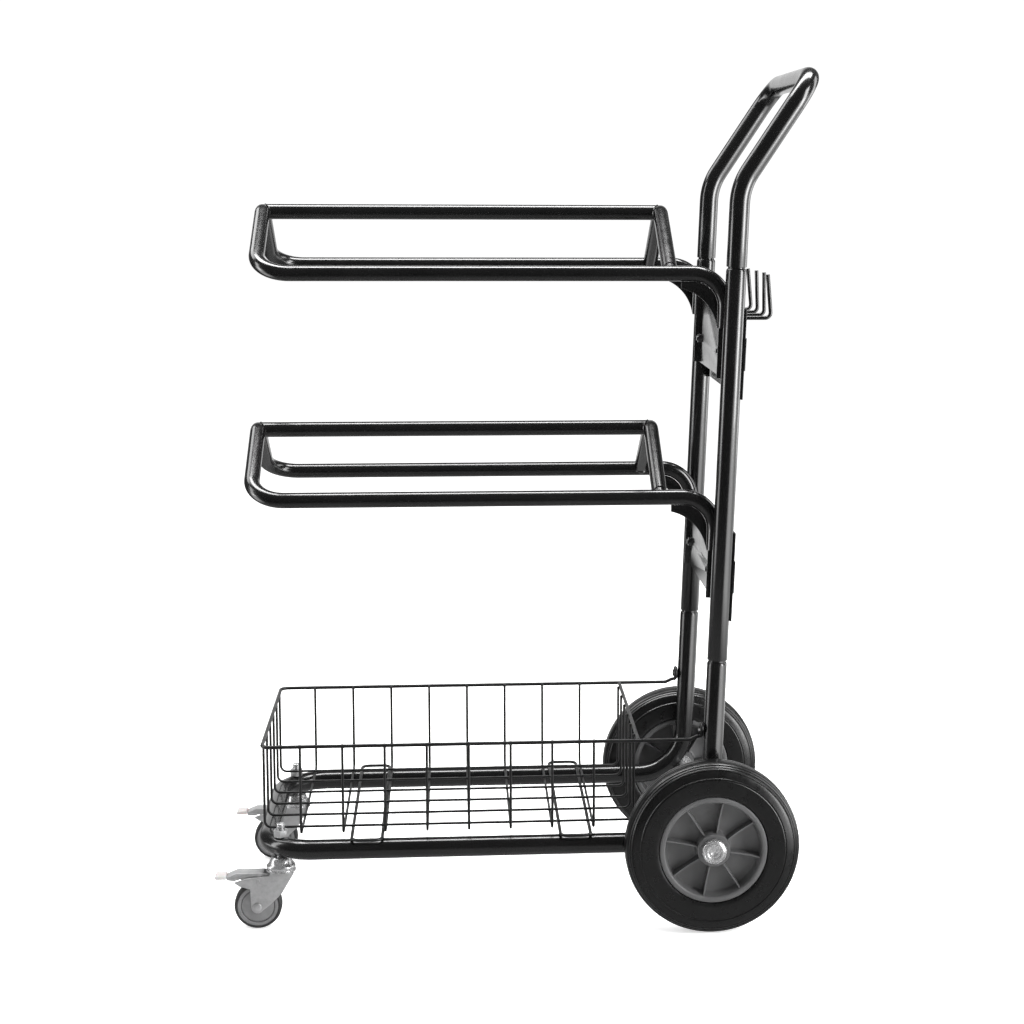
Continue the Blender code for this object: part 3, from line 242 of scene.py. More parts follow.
def black_gloss():
    """Gloss black powder coat: fine orange peel, faint mottling and rubbed patches."""
    coat = Recipe("gloss_black_powder_coat")
    mottle = coat.noise(14.0, 4.0, 0.6)
    coat.colour(coat.shades(mottle, ((0.30, (0.0026, 0.0026, 0.0027)),
                                     (0.70, (0.0046, 0.0046, 0.0047)))))
    handling = coat.noise(30.0, 6.0, 0.65)
    coat.roughness(handling, 0.17, 0.25)
    coat.bump(coat.noise(240.0, 2.0, 0.4), 0.00003, 0.07)
    coat.bump(coat.noise(700.0, 2.0, 0.5), 0.00001, 0.06)
    return coat.fixed(IOR=1.52, Coat_Weight=0.30, Coat_Roughness=0.08).material


def black_satin_wire():
    """Satin black dip coat on wire, a little thicker and duller than on the tubes."""
    coat = Recipe("satin_black_wire_coat")
    mottle = coat.noise(55.0, 4.0, 0.6)
    coat.colour(coat.shades(mottle, ((0.30, (0.0040, 0.0040, 0.0041)),
                                     (0.72, (0.0070, 0.0070, 0.0072)))))
    coat.roughness(coat.noise(90.0, 5.0, 0.6), 0.30, 0.46)
    coat.bump(coat.noise(900.0, 3.0, 0.5), 0.00010, 0.22)
    return coat.fixed(IOR=1.47).material


def tyre_rubber():
    rubber = Recipe("moulded_tyre_rubber")
    bloom = rubber.noise(16.0, 5.0, 0.6)
    dust = rubber.noise(240.0, 4.0, 0.7)
    base = rubber.shades(bloom, ((0.28, (0.0022, 0.0022, 0.0022)),
                                 (0.74, (0.0042, 0.0042, 0.0043))))
    specks = rubber.shades(dust, ((0.40, (0.82, 0.82, 0.82)), (0.70, (1.25, 1.25, 1.24))))
    rubber.colour(rubber.multiply(base, specks))
    rubber.roughness(rubber.noise(60.0, 5.0, 0.6), 0.24, 0.36)
    rubber.bump(rubber.noise(420.0, 4.0, 0.6), 0.00005, 0.18)
    rubber.bump(rubber.grains(1400.0), 0.00002, 0.15)
    return rubber.fixed(IOR=1.50).material


def hub_plastic():
    """Grey moulded plastic with a fine spark-eroded texture."""
    plastic = Recipe("moulded_grey_plastic")
    flow = plastic.noise(24.0, 4.0, 0.55)
    plastic.colour(plastic.shades(flow, ((0.30, (0.066, 0.066, 0.067)),
                                         (0.72, (0.084, 0.084, 0.085)))))
    plastic.roughness(plastic.noise(70.0, 4.0, 0.6), 0.40, 0.52)
    plastic.bump(plastic.noise(1500.0, 2.0, 0.5), 0.00006, 0.30)
    return plastic.fixed(IOR=1.49).material


def zinc_plate():
    """Bright zinc on pressed steel: faint draw lines, clouding and a soft grain."""
    zinc = Recipe("bright_zinc_plate")
    cloud = zinc.noise(130.0, 5.0, 0.65)
    zinc.colour(zinc.shades(cloud, ((0.28, (0.36, 0.36, 0.364)), (0.74, (0.50, 0.50, 0.505)))))
    zinc.roughness(zinc.noise(220.0, 5.0, 0.6), 0.30, 0.46)
    zinc.bump(zinc.noise(240.0, 3.0, 0.6, (1.0, 1.0, 9.0)), 0.00005, 0.22)
    zinc.bump(zinc.noise(1700.0, 2.0, 0.5), 0.00003, 0.22)
    return zinc.fixed(Metallic=0.62).material


def polished_zinc():
    zinc = Recipe("polished_zinc_plate")
    cloud = zinc.noise(150.0, 4.0, 0.6)
    zinc.colour(zinc.shades(cloud, ((0.30, (0.50, 0.50, 0.505)), (0.72, (0.68, 0.68, 0.685)))))
    zinc.roughness(zinc.noise(320.0, 4.0, 0.6), 0.20, 0.32)
    zinc.bump(zinc.noise(260.0, 3.0, 0.5), 0.00020, 0.35)
    return zinc.fixed(Metallic=0.80).material


def caster_rubber():
    tread = Recipe("grey_thermoplastic_tread")
    flow = tread.noise(80.0, 4.0, 0.6)
    tread.colour(tread.shades(flow, ((0.28, (0.018, 0.018, 0.0185)),
                                     (0.72, (0.028, 0.028, 0.0285)))))
    tread.roughness(tread.noise(160.0, 4.0, 0.6), 0.42, 0.58)
    tread.bump(tread.noise(1300.0, 3.0, 0.5), 0.00005, 0.30)
    return tread.fixed(IOR=1.49).material


def caster_plastic():
    core = Recipe("mid_grey_caster_plastic")
    flow = core.noise(90.0, 4.0, 0.6)
    core.colour(core.shades(flow, ((0.28, (0.150, 0.150, 0.152)), (0.72, (0.190, 0.190, 0.193)))))
    core.roughness(core.noise(180.0, 4.0, 0.6), 0.36, 0.50)
    core.bump(core.noise(1500.0, 2.0, 0.5), 0.00004, 0.28)
    return core.fixed(IOR=1.49).material


def white_nylon():
    nylon = Recipe("white_nylon")
    flow = nylon.noise(120.0, 4.0, 0.6)
    nylon.colour(nylon.shades(flow, ((0.28, (0.40, 0.40, 0.395)), (0.72, (0.50, 0.50, 0.495)))))
    nylon.roughness(nylon.noise(240.0, 4.0, 0.6), 0.36, 0.52)
    nylon.bump(nylon.noise(1600.0, 2.0, 0.5), 0.00004, 0.25)
    return nylon.fixed(IOR=1.50, Subsurface_Weight=0.08).material


COAT = black_gloss()
WIRE_COAT = black_satin_wire()
RUBBER = tyre_rubber()
PLASTIC = hub_plastic()
ZINC = zinc_plate()
BRIGHT_ZINC = polished_zinc()
TREAD = caster_rubber()
CORE = caster_plastic()
NYLON = white_nylon()


# Workshop

def object_mode():
    if bpy.context.mode != "OBJECT":
        bpy.ops.object.mode_set(mode="OBJECT")


def clear_bench():
    object_mode()
    bpy.ops.object.select_all(action="DESELECT")


def pick(piece):
    clear_bench()
    piece.select_set(True)
    bpy.context.view_layer.objects.active = piece


def edit(piece, select="SELECT"):
    pick(piece)
    bpy.ops.object.mode_set(mode="EDIT")
    bpy.ops.mesh.select_all(action=select)


def settle(piece):
    """Puts the piece's place and turn into its mesh."""
    pick(piece)
    bpy.ops.object.transform_apply(location=True, rotation=True, scale=True)


def add_ring(name, radius, sides, centre, heading):
    """An open ring that faces along a heading, ready to be drawn out in edit mode."""
    clear_bench()
    turn = Vector((0.0, 0.0, 1.0)).rotation_difference(Vector(heading))
    bpy.ops.mesh.primitive_circle_add(
        vertices=sides,
        radius=radius,
        fill_type="NOTHING",
        location=centre,
        rotation=turn.to_euler(),
    )
    piece = bpy.context.active_object
    piece.name = name
    piece.data.name = name
    settle(piece)
    edit(piece)
    return piece


def draw_out(step):
    bpy.ops.mesh.extrude_region_move(TRANSFORM_OT_translate={"value": tuple(step)})


def widen(factor, centre):
    bpy.ops.transform.resize(value=(factor, factor, factor), center_override=tuple(centre))


def bend_round(angle, centre, axis, step):
    bpy.ops.mesh.spin(
        steps=max(2, math.ceil(angle / step)),
        angle=-angle,
        center=tuple(centre),
        axis=tuple(axis),
    )


def modify(piece, kind, **settings):
    pick(piece)
    modifier = piece.modifiers.new(kind.lower(), kind)
    for name, value in settings.items():
        setattr(modifier, name, value)
    bpy.ops.object.modifier_apply(modifier=modifier.name)


def ease_edges(piece, width, segments=2, angle=35.0):
    modify(piece, "BEVEL", width=width, segments=segments, limit_method="ANGLE",
           angle_limit=math.radians(angle), harden_normals=False)


def outwards(piece):
    """Turns every face to point out."""
    edit(piece)
    bpy.ops.mesh.normals_make_consistent(inside=False)
    object_mode()


def finish(piece, name, body, material, *nodes):
    piece.name = name
    piece.data.name = name
    piece.data.materials.clear()
    piece.data.materials.append(material)
    pick(piece)
    bpy.ops.object.shade_smooth_by_angle(angle=SMOOTH_ANGLE)
    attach(piece, body)
    if nodes:
        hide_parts(*nodes)
    return piece


def join(pieces):
    pick(pieces[0])
    for piece in pieces[1:]:
        piece.select_set(True)
    bpy.ops.object.join()
    return bpy.context.active_object


def bend_plan(corners, radii):
    """For each corner: where its bend starts and ends, its centre, axis and angle."""
    plan = []
    for index in range(1, len(corners) - 1):
        corner = corners[index]
        back = (corners[index - 1] - corner).normalized()
        ahead = (corners[index + 1] - corner).normalized()
        turn = math.pi - back.angle(ahead)
        reach = radii[index] * math.tan(turn / 2.0)
        inward = (back + ahead).normalized()
        centre = corner + inward * (radii[index] / math.cos(turn / 2.0))
        first = corner + back * reach
        last = corner + ahead * reach
        axis = (first - centre).cross(last - centre).normalized()
        plan.append((first, last, centre, axis, turn))
    return plan


def bent_bar(name, corners, radii, radius, sides=WIRE_SIDES, step=WIRE_STEP, tips=("flat", "flat")):
    """A round bar drawn along straight runs and bent at each corner."""
    corners = [Vector(corner) for corner in corners]
    heading = (corners[1] - corners[0]).normalized()
    start = corners[0]
    piece = add_ring(name, radius, sides, start, heading)
    spot = start
    if tips[0] == "flat":
        bpy.ops.mesh.edge_face_add()
        bpy.ops.mesh.select_all(action="SELECT")
        draw_out(heading * radius * TIP_STEP)
        spot = start + heading * radius * TIP_STEP
    for first, last, centre, axis, turn in bend_plan(corners, radii):
        if (first - spot).length > TOUCHING:
            draw_out(first - spot)
        bend_round(turn, centre, axis, step)
        spot = last
    draw_out(corners[-1] - spot)
    if tips[1] == "flat":
        bpy.ops.mesh.edge_face_add()
    object_mode()
    outwards(piece)
    return piece


# Frame tubes

def upright_x(height):
    return AXLE_X + (height - AXLE_Z) * math.tan(LEAN)


def upright_point(side, height):
    return Vector((upright_x(height), side * HALF_SPAN, height))


def up_the_tube(side, height, distance):
    return upright_point(side, height + distance * math.cos(LEAN))


def leg_x(height):
    return upright_x(height) - LEG_FORWARD


def shoulder_rings(tip, heading, swelling):
    """The rounded shoulder between a neck and the full tube, in either direction."""
    spot = tip
    size = SPIGOT_R if swelling else TUBE_R
    for number in range(1, 7):
        angle = math.radians(15.0 * (number if swelling else 6 - number))
        along = SHOULDER * (1.0 - math.cos(angle))
        place = tip + heading * (along if swelling else SHOULDER - along)
        radius = SPIGOT_R + (TUBE_R - SPIGOT_R) * math.sin(angle)
        draw_out(place - spot)
        widen(radius / size, place)
        spot = place
        size = radius
    return spot


def bent_tube(name, corners, radii, radius, wall, sides, necks=(False, False), step=BEND_STEP):
    """A tube drawn from a ring; a necked end narrows to the plug that enters the next tube."""
    corners = [Vector(corner) for corner in corners]
    heading = (corners[1] - corners[0]).normalized()
    if necks[0]:
        tip = corners[0] - heading * (SPIGOT_DEPTH + JOINT_GROOVE)
        piece = add_ring(name, SPIGOT_R, sides, tip, heading)
        draw_out(corners[0] - tip)
        spot = shoulder_rings(corners[0], heading, True)
    else:
        spot = corners[0]
        piece = add_ring(name, radius, sides, spot, heading)
    for first, last, centre, axis, turn in bend_plan(corners, radii):
        if (first - spot).length > TOUCHING:
            draw_out(first - spot)
        bend_round(turn, centre, axis, step)
        spot = last
    heading = (corners[-1] - corners[-2]).normalized()
    if necks[1]:
        shoulder = corners[-1] - heading * SHOULDER
        draw_out(shoulder - spot)
        spot = shoulder_rings(shoulder, heading, False)
        draw_out(heading * (SPIGOT_DEPTH + JOINT_GROOVE))
    else:
        draw_out(corners[-1] - spot)
    object_mode()
    outwards(piece)
    modify(piece, "SOLIDIFY", thickness=wall, offset=-1.0, use_even_offset=True)
    return piece


def frame_tubes():
    groove = -JOINT_GROOVE
    corners = (
        up_the_tube(-1.0, LOWER_JOINT, groove),
        upright_point(-1.0, BASE_Z),
        (BASE_FRONT, -HALF_SPAN, BASE_Z),
        (BASE_FRONT, HALF_SPAN, BASE_Z),
        upright_point(1.0, BASE_Z),
        up_the_tube(1.0, LOWER_JOINT, groove),
    )
    radii = (0.0, HEEL_BEND, BASE_CORNER, BASE_CORNER, HEEL_BEND, 0.0)
    base = bent_tube("base_tube", corners, radii, TUBE_R, TUBE_WALL, TUBE_SIDES, (True, True))
    finish(base, "base_tube", "frame", COAT, "base_frame_tube")
    for side_name, side in SIDES:
        corners = (
            upright_point(side, LOWER_JOINT),
            up_the_tube(side, UPPER_JOINT, groove),
        )
        tube = bent_tube("upright", corners, (0.0, 0.0), TUBE_R, TUBE_WALL, TUBE_SIDES,
                         (False, True))
        modify(tube, "BEVEL", width=0.0004, segments=2, limit_method="ANGLE")
        finish(tube, f"upright_{side_name}", "frame", COAT, f"mid_upright_{side_name}")
    top_x = upright_x(HANDLE_BEND_Z) + (HANDLE_TOP - HANDLE_BEND_Z) * math.tan(HANDLE_RAKE)
    corners = (
        upright_point(-1.0, UPPER_JOINT),
        upright_point(-1.0, HANDLE_BEND_Z),
        (top_x, -HALF_SPAN, HANDLE_TOP),
        (top_x, HALF_SPAN, HANDLE_TOP),
        upright_point(1.0, HANDLE_BEND_Z),
        upright_point(1.0, UPPER_JOINT),
    )
    radii = (0.0, HANDLE_BEND, HANDLE_CORNER, HANDLE_CORNER, HANDLE_BEND, 0.0)
    grip = bent_tube("handle", corners, radii, TUBE_R, TUBE_WALL, TUBE_SIDES)
    modify(grip, "BEVEL", width=0.0004, segments=2, limit_method="ANGLE")
    finish(grip, "handle", "frame", COAT, "push_handle")


# Racks

def bead(name, points, radius):
    """A run of weld along a closed line of points."""
    clear_bench()
    line = bpy.data.curves.new(name, "CURVE")
    line.dimensions = "3D"
    line.bevel_depth = radius
    line.bevel_resolution = 1
    spline = line.splines.new("POLY")
    spline.points.add(len(points) - 1)
    for number, point in enumerate(points):
        spline.points[number].co = (*point, 1.0)
        spline.points[number].radius = 1.0 + 0.14 * math.sin(2.4 * number)
    spline.use_cyclic_u = True
    piece = bpy.data.objects.new(name, line)
    bpy.context.scene.collection.objects.link(piece)
    pick(piece)
    bpy.ops.object.convert(target="MESH")
    return bpy.context.active_object


def rack_joint_beads(rail):
    """Welds where the rear V stands on the rails and where the ridge meets both Vs."""
    beads = []
    half_angle = math.atan2(V_RISE, RACK_HALF)
    brace_x = leg_x(rail) - BRACE_REACH
    for side in (-1.0, 1.0):
        foot = Vector((brace_x, side * RACK_HALF, rail))
        along = Vector((0.0, -side * math.cos(half_angle), math.sin(half_angle)))
        across = Vector((1.0, 0.0, 0.0))
        up = along.cross(across)
        points = []
        for number in range(BEAD_POINTS):
            angle = 2.0 * math.pi * number / BEAD_POINTS
            sideways = RACK_R * WELD_STAND_OFF * math.cos(angle)
            rise = math.sqrt(max(RACK_R ** 2 - sideways ** 2, 0.0))
            reach = max(rise, RACK_R * WELD_LOWEST)
            lift = RACK_R * WELD_STAND_OFF * math.sin(angle)
            points.append(foot + along * reach + across * sideways + up * lift)
        beads.append(bead("brace_bead", points, WELD_R))
    ridge = rail + RIDGE_RISE
    for end, hand in ((leg_x(rail) - RACK_REACH, 1.0), (brace_x, -1.0)):
        points = []
        for number in range(BEAD_POINTS):
            angle = 2.0 * math.pi * number / BEAD_POINTS
            sideways = RACK_R * WELD_STAND_OFF * math.cos(angle)
            lift = RACK_R * WELD_STAND_OFF * math.sin(angle)
            reach = max(math.sqrt(max(RACK_R ** 2 - lift ** 2, 0.0)), RACK_R * WELD_LOWEST)
            points.append(Vector((end + hand * reach, sideways, ridge + lift)))
        beads.append(bead("ridge_bead", points, WELD_R))
    return beads


def gusset_outline(rail):
    """Fills the inside of a rail's rear bend and hollows out below it."""
    tangent = math.tan(LEAN)
    clear = RACK_R + GAP
    centre_x = leg_x(rail - REAR_BEND) - REAR_BEND / math.cos(LEAN)
    centre_z = rail - REAR_BEND
    front = centre_x - 0.017
    under = rail - clear
    heel = rail - 0.078
    heel_x = leg_x(heel) - clear * math.sqrt(1.0 + tangent * tangent)
    toe = Vector((front, under - 0.010))
    chord = Vector((heel_x, heel)) - toe
    middle = toe + chord / 2.0
    square = Vector((chord.y, -chord.x)).normalized()
    hub = middle + square * math.sqrt(GUSSET_ARC ** 2 - (chord.length / 2.0) ** 2)
    first = math.atan2(toe.y - hub.y, toe.x - hub.x)
    last = math.atan2(heel - hub.y, heel_x - hub.x)
    points = [(front, under)]
    for number in range(19):
        angle = first + (last - first) * number / 18.0
        points.append((hub.x + GUSSET_ARC * math.cos(angle), hub.y + GUSSET_ARC * math.sin(angle)))
    inner = REAR_BEND - clear
    for number in range(15):
        angle = -LEAN + (math.pi / 2.0 + LEAN) * number / 14.0
        points.append((centre_x + inner * math.cos(angle), centre_z + inner * math.sin(angle)))
    return points


def sheet_plate(name, outline, thickness, y, edge=0.0005):
    """A flat outline in the XZ plane at a distance y, with softened edges."""
    clear_bench()
    line = bpy.data.curves.new(name, "CURVE")
    line.dimensions = "2D"
    line.fill_mode = "BOTH"
    line.extrude = thickness / 2.0
    spline = line.splines.new("POLY")
    spline.points.add(len(outline) - 1)
    for number, (across, up) in enumerate(outline):
        spline.points[number].co = (across, up, 0.0, 1.0)
    spline.use_cyclic_u = True
    piece = bpy.data.objects.new(name, line)
    bpy.context.scene.collection.objects.link(piece)
    pick(piece)
    bpy.ops.object.convert(target="MESH")
    piece = bpy.context.active_object
    edit(piece)
    bpy.ops.mesh.remove_doubles(threshold=0.000001)
    bpy.ops.mesh.normals_make_consistent(inside=False)
    object_mode()
    piece.rotation_euler = (math.pi / 2.0, 0.0, 0.0)
    piece.location = (0.0, y, 0.0)
    settle(piece)
    ease_edges(piece, edge, 2, 50.0)
    return piece


def worked_copy(node, name, edge, segments=2, angle=40.0):
    """A pressed or machined piece from its solid, merged into clean faces with eased edges."""
    clear_bench()
    piece = bpy.data.objects.new(name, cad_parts[node].data.copy())
    bpy.context.scene.collection.objects.link(piece)
    edit(piece)
    bpy.ops.mesh.remove_doubles(threshold=0.00001)
    bpy.ops.mesh.dissolve_limited(angle_limit=math.radians(2.0))
    bpy.ops.mesh.normals_make_consistent(inside=False)
    object_mode()
    if edge > 0.0:
        ease_edges(piece, edge, segments, angle)
    return piece


def racks():
    for level, rail in RACKS.items():
        knee = leg_x(rail)
        nose = knee - RACK_REACH
        foot = rail - LEG_DROP
        corners = (
            (leg_x(foot), -RACK_HALF, foot),
            (knee, -RACK_HALF, rail),
            (nose, -RACK_HALF, rail),
            (nose, 0.0, rail + V_RISE),
            (nose, RACK_HALF, rail),
            (knee, RACK_HALF, rail),
            (leg_x(foot), RACK_HALF, foot),
        )
        radii = (0.0, REAR_BEND, FRONT_BEND, V_BEND, FRONT_BEND, REAR_BEND, 0.0)
        rails = bent_tube("rails", corners, radii, RACK_R, RACK_WALL, RACK_SIDES)
        finish(rails, f"{level}_rails", "frame", COAT, f"{level}_rack_rails")
        brace_x = knee - BRACE_REACH
        slope = math.atan2(V_RISE, RACK_HALF)
        feet = [
            (brace_x, side * (RACK_HALF - SEAT * math.cos(slope)), rail + SEAT * math.sin(slope))
            for side in (-1.0, 1.0)
        ]
        brace = bent_tube("brace", (feet[0], (brace_x, 0.0, rail + V_RISE), feet[1]),
                          (0.0, V_BEND, 0.0), RACK_R, RACK_WALL, RACK_SIDES)
        finish(brace, f"{level}_rear_brace", "frame", COAT, f"{level}_rack_rear_brace")
        ridge = bent_tube("ridge", ((nose + SEAT, 0.0, rail + RIDGE_RISE),
                                    (brace_x - SEAT, 0.0, rail + RIDGE_RISE)),
                          (0.0, 0.0), RACK_R, RACK_WALL, RACK_SIDES)
        finish(ridge, f"{level}_ridge", "frame", COAT, f"{level}_rack_ridge_rail")
        welds = join(rack_joint_beads(rail))
        finish(welds, f"{level}_rack_welds", "frame", COAT)
        outline = gusset_outline(rail)
        for side_name, side in SIDES:
            plate = sheet_plate("gusset", outline, GUSSET_THICKNESS, side * RACK_HALF)
            finish(plate, f"{level}_gusset_{side_name}", "frame", COAT,
                   f"{level}_rack_gusset_{side_name}")
            bolt = worked_copy(f"{level}_rack_bolt_{side_name}", "bolt", 0.0005)
            finish(bolt, f"{level}_bolt_{side_name}", "frame", COAT,
                   f"{level}_rack_bolt_{side_name}")
        channel = worked_copy(f"{level}_rack_channel", "channel", 0.0006)
        finish(channel, f"{level}_channel", "frame", COAT, f"{level}_rack_channel")
        clamp = worked_copy(f"{level}_rack_clamp_plate", "clamp", 0.0006)
        finish(clamp, f"{level}_clamp_plate", "frame", COAT, f"{level}_rack_clamp_plate")


def hooks():
    """Two bent wires, each a pair of hooks, welded to the upper clamp plate."""
    rail = RACKS["upper"]
    behind = TUBE_R + GAP + PLATE + GAP + HOOK_WIRE
    root_x = upright_x(rail) + behind * math.cos(LEAN) - HOOK_DROP * math.sin(LEAN)
    root_z = rail - behind * math.sin(LEAN) - HOOK_DROP * math.cos(LEAN)
    reach = root_x + HOOK_REACH
    tip = root_z + HOOK_HEIGHT
    bends = (0.0, HOOK_BEND, HOOK_BEND, HOOK_BEND, HOOK_BEND, 0.0)
    for side_name, side in SIDES:
        near = side * HOOK_NEAR
        far = side * HOOK_FAR
        near_lean, far_lean = HOOK_LEANS[side_name]
        corners = (
            (reach - near_lean, near, tip), (reach, near, root_z), (root_x, near, root_z),
            (root_x, far, root_z), (reach, far, root_z), (reach - far_lean, far, tip),
        )
        wire = bent_bar("hook", corners, bends, HOOK_WIRE, 20)
        ease_edges(wire, 0.0009, 3, 50.0)
        finish(wire, f"hooks_{side_name}", "frame", COAT, f"hook_pair_{side_name}")


# Basket

def eye_corners(eye_x, side):
    """The eye's free end and the corners that its bend rounds off."""
    points = [(eye_x, side * (HALF_SPAN - EYE_R * math.cos(math.radians(-45.0))),
               EYE_Z + EYE_R * math.sin(math.radians(-45.0)))]
    reach = EYE_R / math.cos(math.radians(22.5))
    for number in range(5):
        angle = math.radians(-22.5 + 45.0 * number)
        points.append((eye_x, side * (HALF_SPAN - reach * math.cos(angle)),
                       EYE_Z + reach * math.sin(angle)))
    return points


def basket_rim():
    eye_x = upright_x(EYE_Z) - TUBE_R / math.cos(LEAN) - RIM_WIRE - 0.0006
    rise_end = eye_x - 0.006
    high = RIM_Z + 0.005
    corners = []
    radii = []
    for side in (-1.0, 1.0):
        eye = eye_corners(eye_x, side)
        run = eye + [
            (eye_x, side * RIM_Y, high),
            (rise_end, side * RIM_Y, high),
            (rise_end - 0.011, side * RIM_Y, RIM_Z),
            (BASKET_FRONT, side * RIM_Y, RIM_Z),
        ]
        bends = [0.0] + [EYE_R * 0.999] * 4 + [0.0034, 0.0034, 0.006, 0.010, 0.012]
        corners += run if side < 0.0 else run[::-1]
        radii += bends if side < 0.0 else bends[::-1]
    rim = bent_bar("rim", corners, radii, RIM_WIRE)
    finish(rim, "basket_rim", "frame", WIRE_COAT, "basket_rim_wire")


def weld_spot(place, size):
    clear_bench()
    bpy.ops.mesh.primitive_uv_sphere_add(segments=8, ring_count=6, radius=size, location=place)
    spot = bpy.context.active_object
    settle(spot)
    edit(spot)
    bpy.ops.transform.resize(value=(1.0, 1.0, 0.72), center_override=place)
    object_mode()
    return spot


def basket_wires():
    top = RIM_Z + RIM_WIRE / 2.0
    half = RIM_Y - RIM_WIRE - MESH_WIRE - GAP
    bends = (0.0, 0.010, 0.010, 0.0)
    pieces = []
    cross_places = [BASKET_FRONT + FIRST_CROSS + CROSS_PITCH * number for number in range(CROSS_WIRES)]
    long_places = [LONG_PITCH * (number - 2.5) for number in range(LONG_WIRES)]
    for x in cross_places:
        corners = ((x, -half, top), (x, -half, CROSS_FLOOR), (x, half, CROSS_FLOOR), (x, half, top))
        pieces.append(bent_bar("cross", corners, bends, MESH_WIRE, 12))
    for y in long_places:
        corners = ((BASKET_FRONT, y, RIM_Z - RIM_WIRE * 0.6), (BASKET_FRONT, y, LONG_FLOOR),
                   (BASKET_REAR, y, LONG_FLOOR), (BASKET_REAR, y, top))
        pieces.append(bent_bar("long", corners, bends, MESH_WIRE, 12))
    bar_x = BASKET_REAR + MESH_WIRE + RIM_WIRE - 0.0006
    bar_end = RIM_Y - RIM_WIRE
    pieces.append(bent_bar("rear_bar", ((bar_x, -bar_end, RIM_Z), (bar_x, bar_end, RIM_Z)),
                           (0.0, 0.0), RIM_WIRE))
    for x in cross_places:
        for y in long_places:
            pieces.append(weld_spot((x, y, (CROSS_FLOOR + LONG_FLOOR) / 2.0), WELD_SPOT_R))
    grid = join(pieces)
    finish(grid, "basket_wires", "frame", WIRE_COAT, "basket_grid")


def basket_supports():
    height = BASE_TOP + GAP + SUPPORT_WIRE
    half_length = HALF_SPAN + 0.016
    half_width = 0.0225
    bends = (0.0, SUPPORT_BEND, SUPPORT_BEND, SUPPORT_BEND, SUPPORT_BEND, 0.0)
    for name, share in SUPPORT_SHARES.items():
        x = AXLE_X - share * BASE_REACH
        corners = (
            (x - half_width, 0.0, height),
            (x - half_width, -half_length, height),
            (x + half_width, -half_length, height),
            (x + half_width, half_length, height),
            (x - half_width, half_length, height),
            (x - half_width, 0.0, height),
        )
        loop = bent_bar("support", corners, bends, SUPPORT_WIRE, 14, tips=("open", "open"))
        edit(loop)
        bpy.ops.mesh.remove_doubles(threshold=0.00002)
        bpy.ops.mesh.normals_make_consistent(inside=False)
        object_mode()
        finish(loop, f"support_{name}", "frame", WIRE_COAT, f"basket_support_{name}")


# Turned pieces

def turned(name, profile, sides, closed=False):
    """Rings of (radius, height) drawn out one after another about Z."""
    first_radius, first_height = profile[0]
    piece = add_ring(name, first_radius, sides, (0.0, 0.0, first_height), (0.0, 0.0, 1.0))
    if not closed:
        bpy.ops.mesh.edge_face_add()
    radius = first_radius
    height = first_height
    for next_radius, next_height in profile[1:]:
        draw_out((0.0, 0.0, next_height - height))
        if abs(next_radius - radius) > 1e-7:
            factor = next_radius / radius
            bpy.ops.transform.resize(value=(factor, factor, 1.0),
                                     center_override=(0.0, 0.0, next_height))
        radius = next_radius
        height = next_height
    if closed:
        bpy.ops.mesh.select_all(action="DESELECT")
        bpy.ops.mesh.select_non_manifold()
        bpy.ops.mesh.bridge_edge_loops()
    else:
        bpy.ops.mesh.edge_face_add()
    object_mode()
    outwards(piece)
    return piece


def mirrored(upper):
    return upper + [(radius, -height) for radius, height in reversed(upper)]


def set_on_axle(piece, side, x, y, z):
    """Turns +Z to point away from the cart's middle and moves the piece to its axle."""
    piece.rotation_euler = (math.radians(-90.0 * side), 0.0, 0.0)
    piece.location = (x, y, z)
    settle(piece)
    return piece


def tyre_profile():
    return mirrored([
        (0.0808, 0.0225), (0.0816, 0.0241), (0.0840, 0.0251), (0.0880, 0.0255),
        (0.1060, 0.0255), (0.1068, 0.0248), (0.1076, 0.0247), (0.1081, 0.0253),
        (0.1091, 0.0254), (0.1097, 0.0246), (0.1130, 0.0238), (0.1165, 0.0227),
        (0.1192, 0.0213), (0.1196, 0.0203), (0.1203, 0.0202), (0.1208, 0.0207),
        (0.1228, 0.0190), (0.1230, 0.0181), (0.1237, 0.0179), (0.1243, 0.0182),
        (0.1259, 0.0163), (0.1260, 0.0154), (0.1267, 0.0150), (0.1274, 0.0151),
        (0.1287, 0.0128), (0.1295, 0.0104), (0.1299, 0.0078), (0.1300, 0.0052),
        (0.1288, 0.0046), (0.1288, 0.0034), (0.1300, 0.0028),
    ])


def hub_profile():
    return mirrored([
        (0.0105, 0.0243), (0.0112, 0.0250), (0.0205, 0.0250), (0.0238, 0.0246),
        (0.0246, 0.0236), (0.0249, 0.0070), (0.0262, 0.0040), (0.0290, 0.0026),
        (0.0640, 0.0022), (0.0682, 0.0034), (0.0700, 0.0060), (0.0708, 0.0180),
        (0.0716, 0.0212), (0.0726, 0.0228), (0.0742, 0.0235), (0.0786, 0.0235),
        (0.0798, 0.0228), (0.0804, 0.0212),
    ])


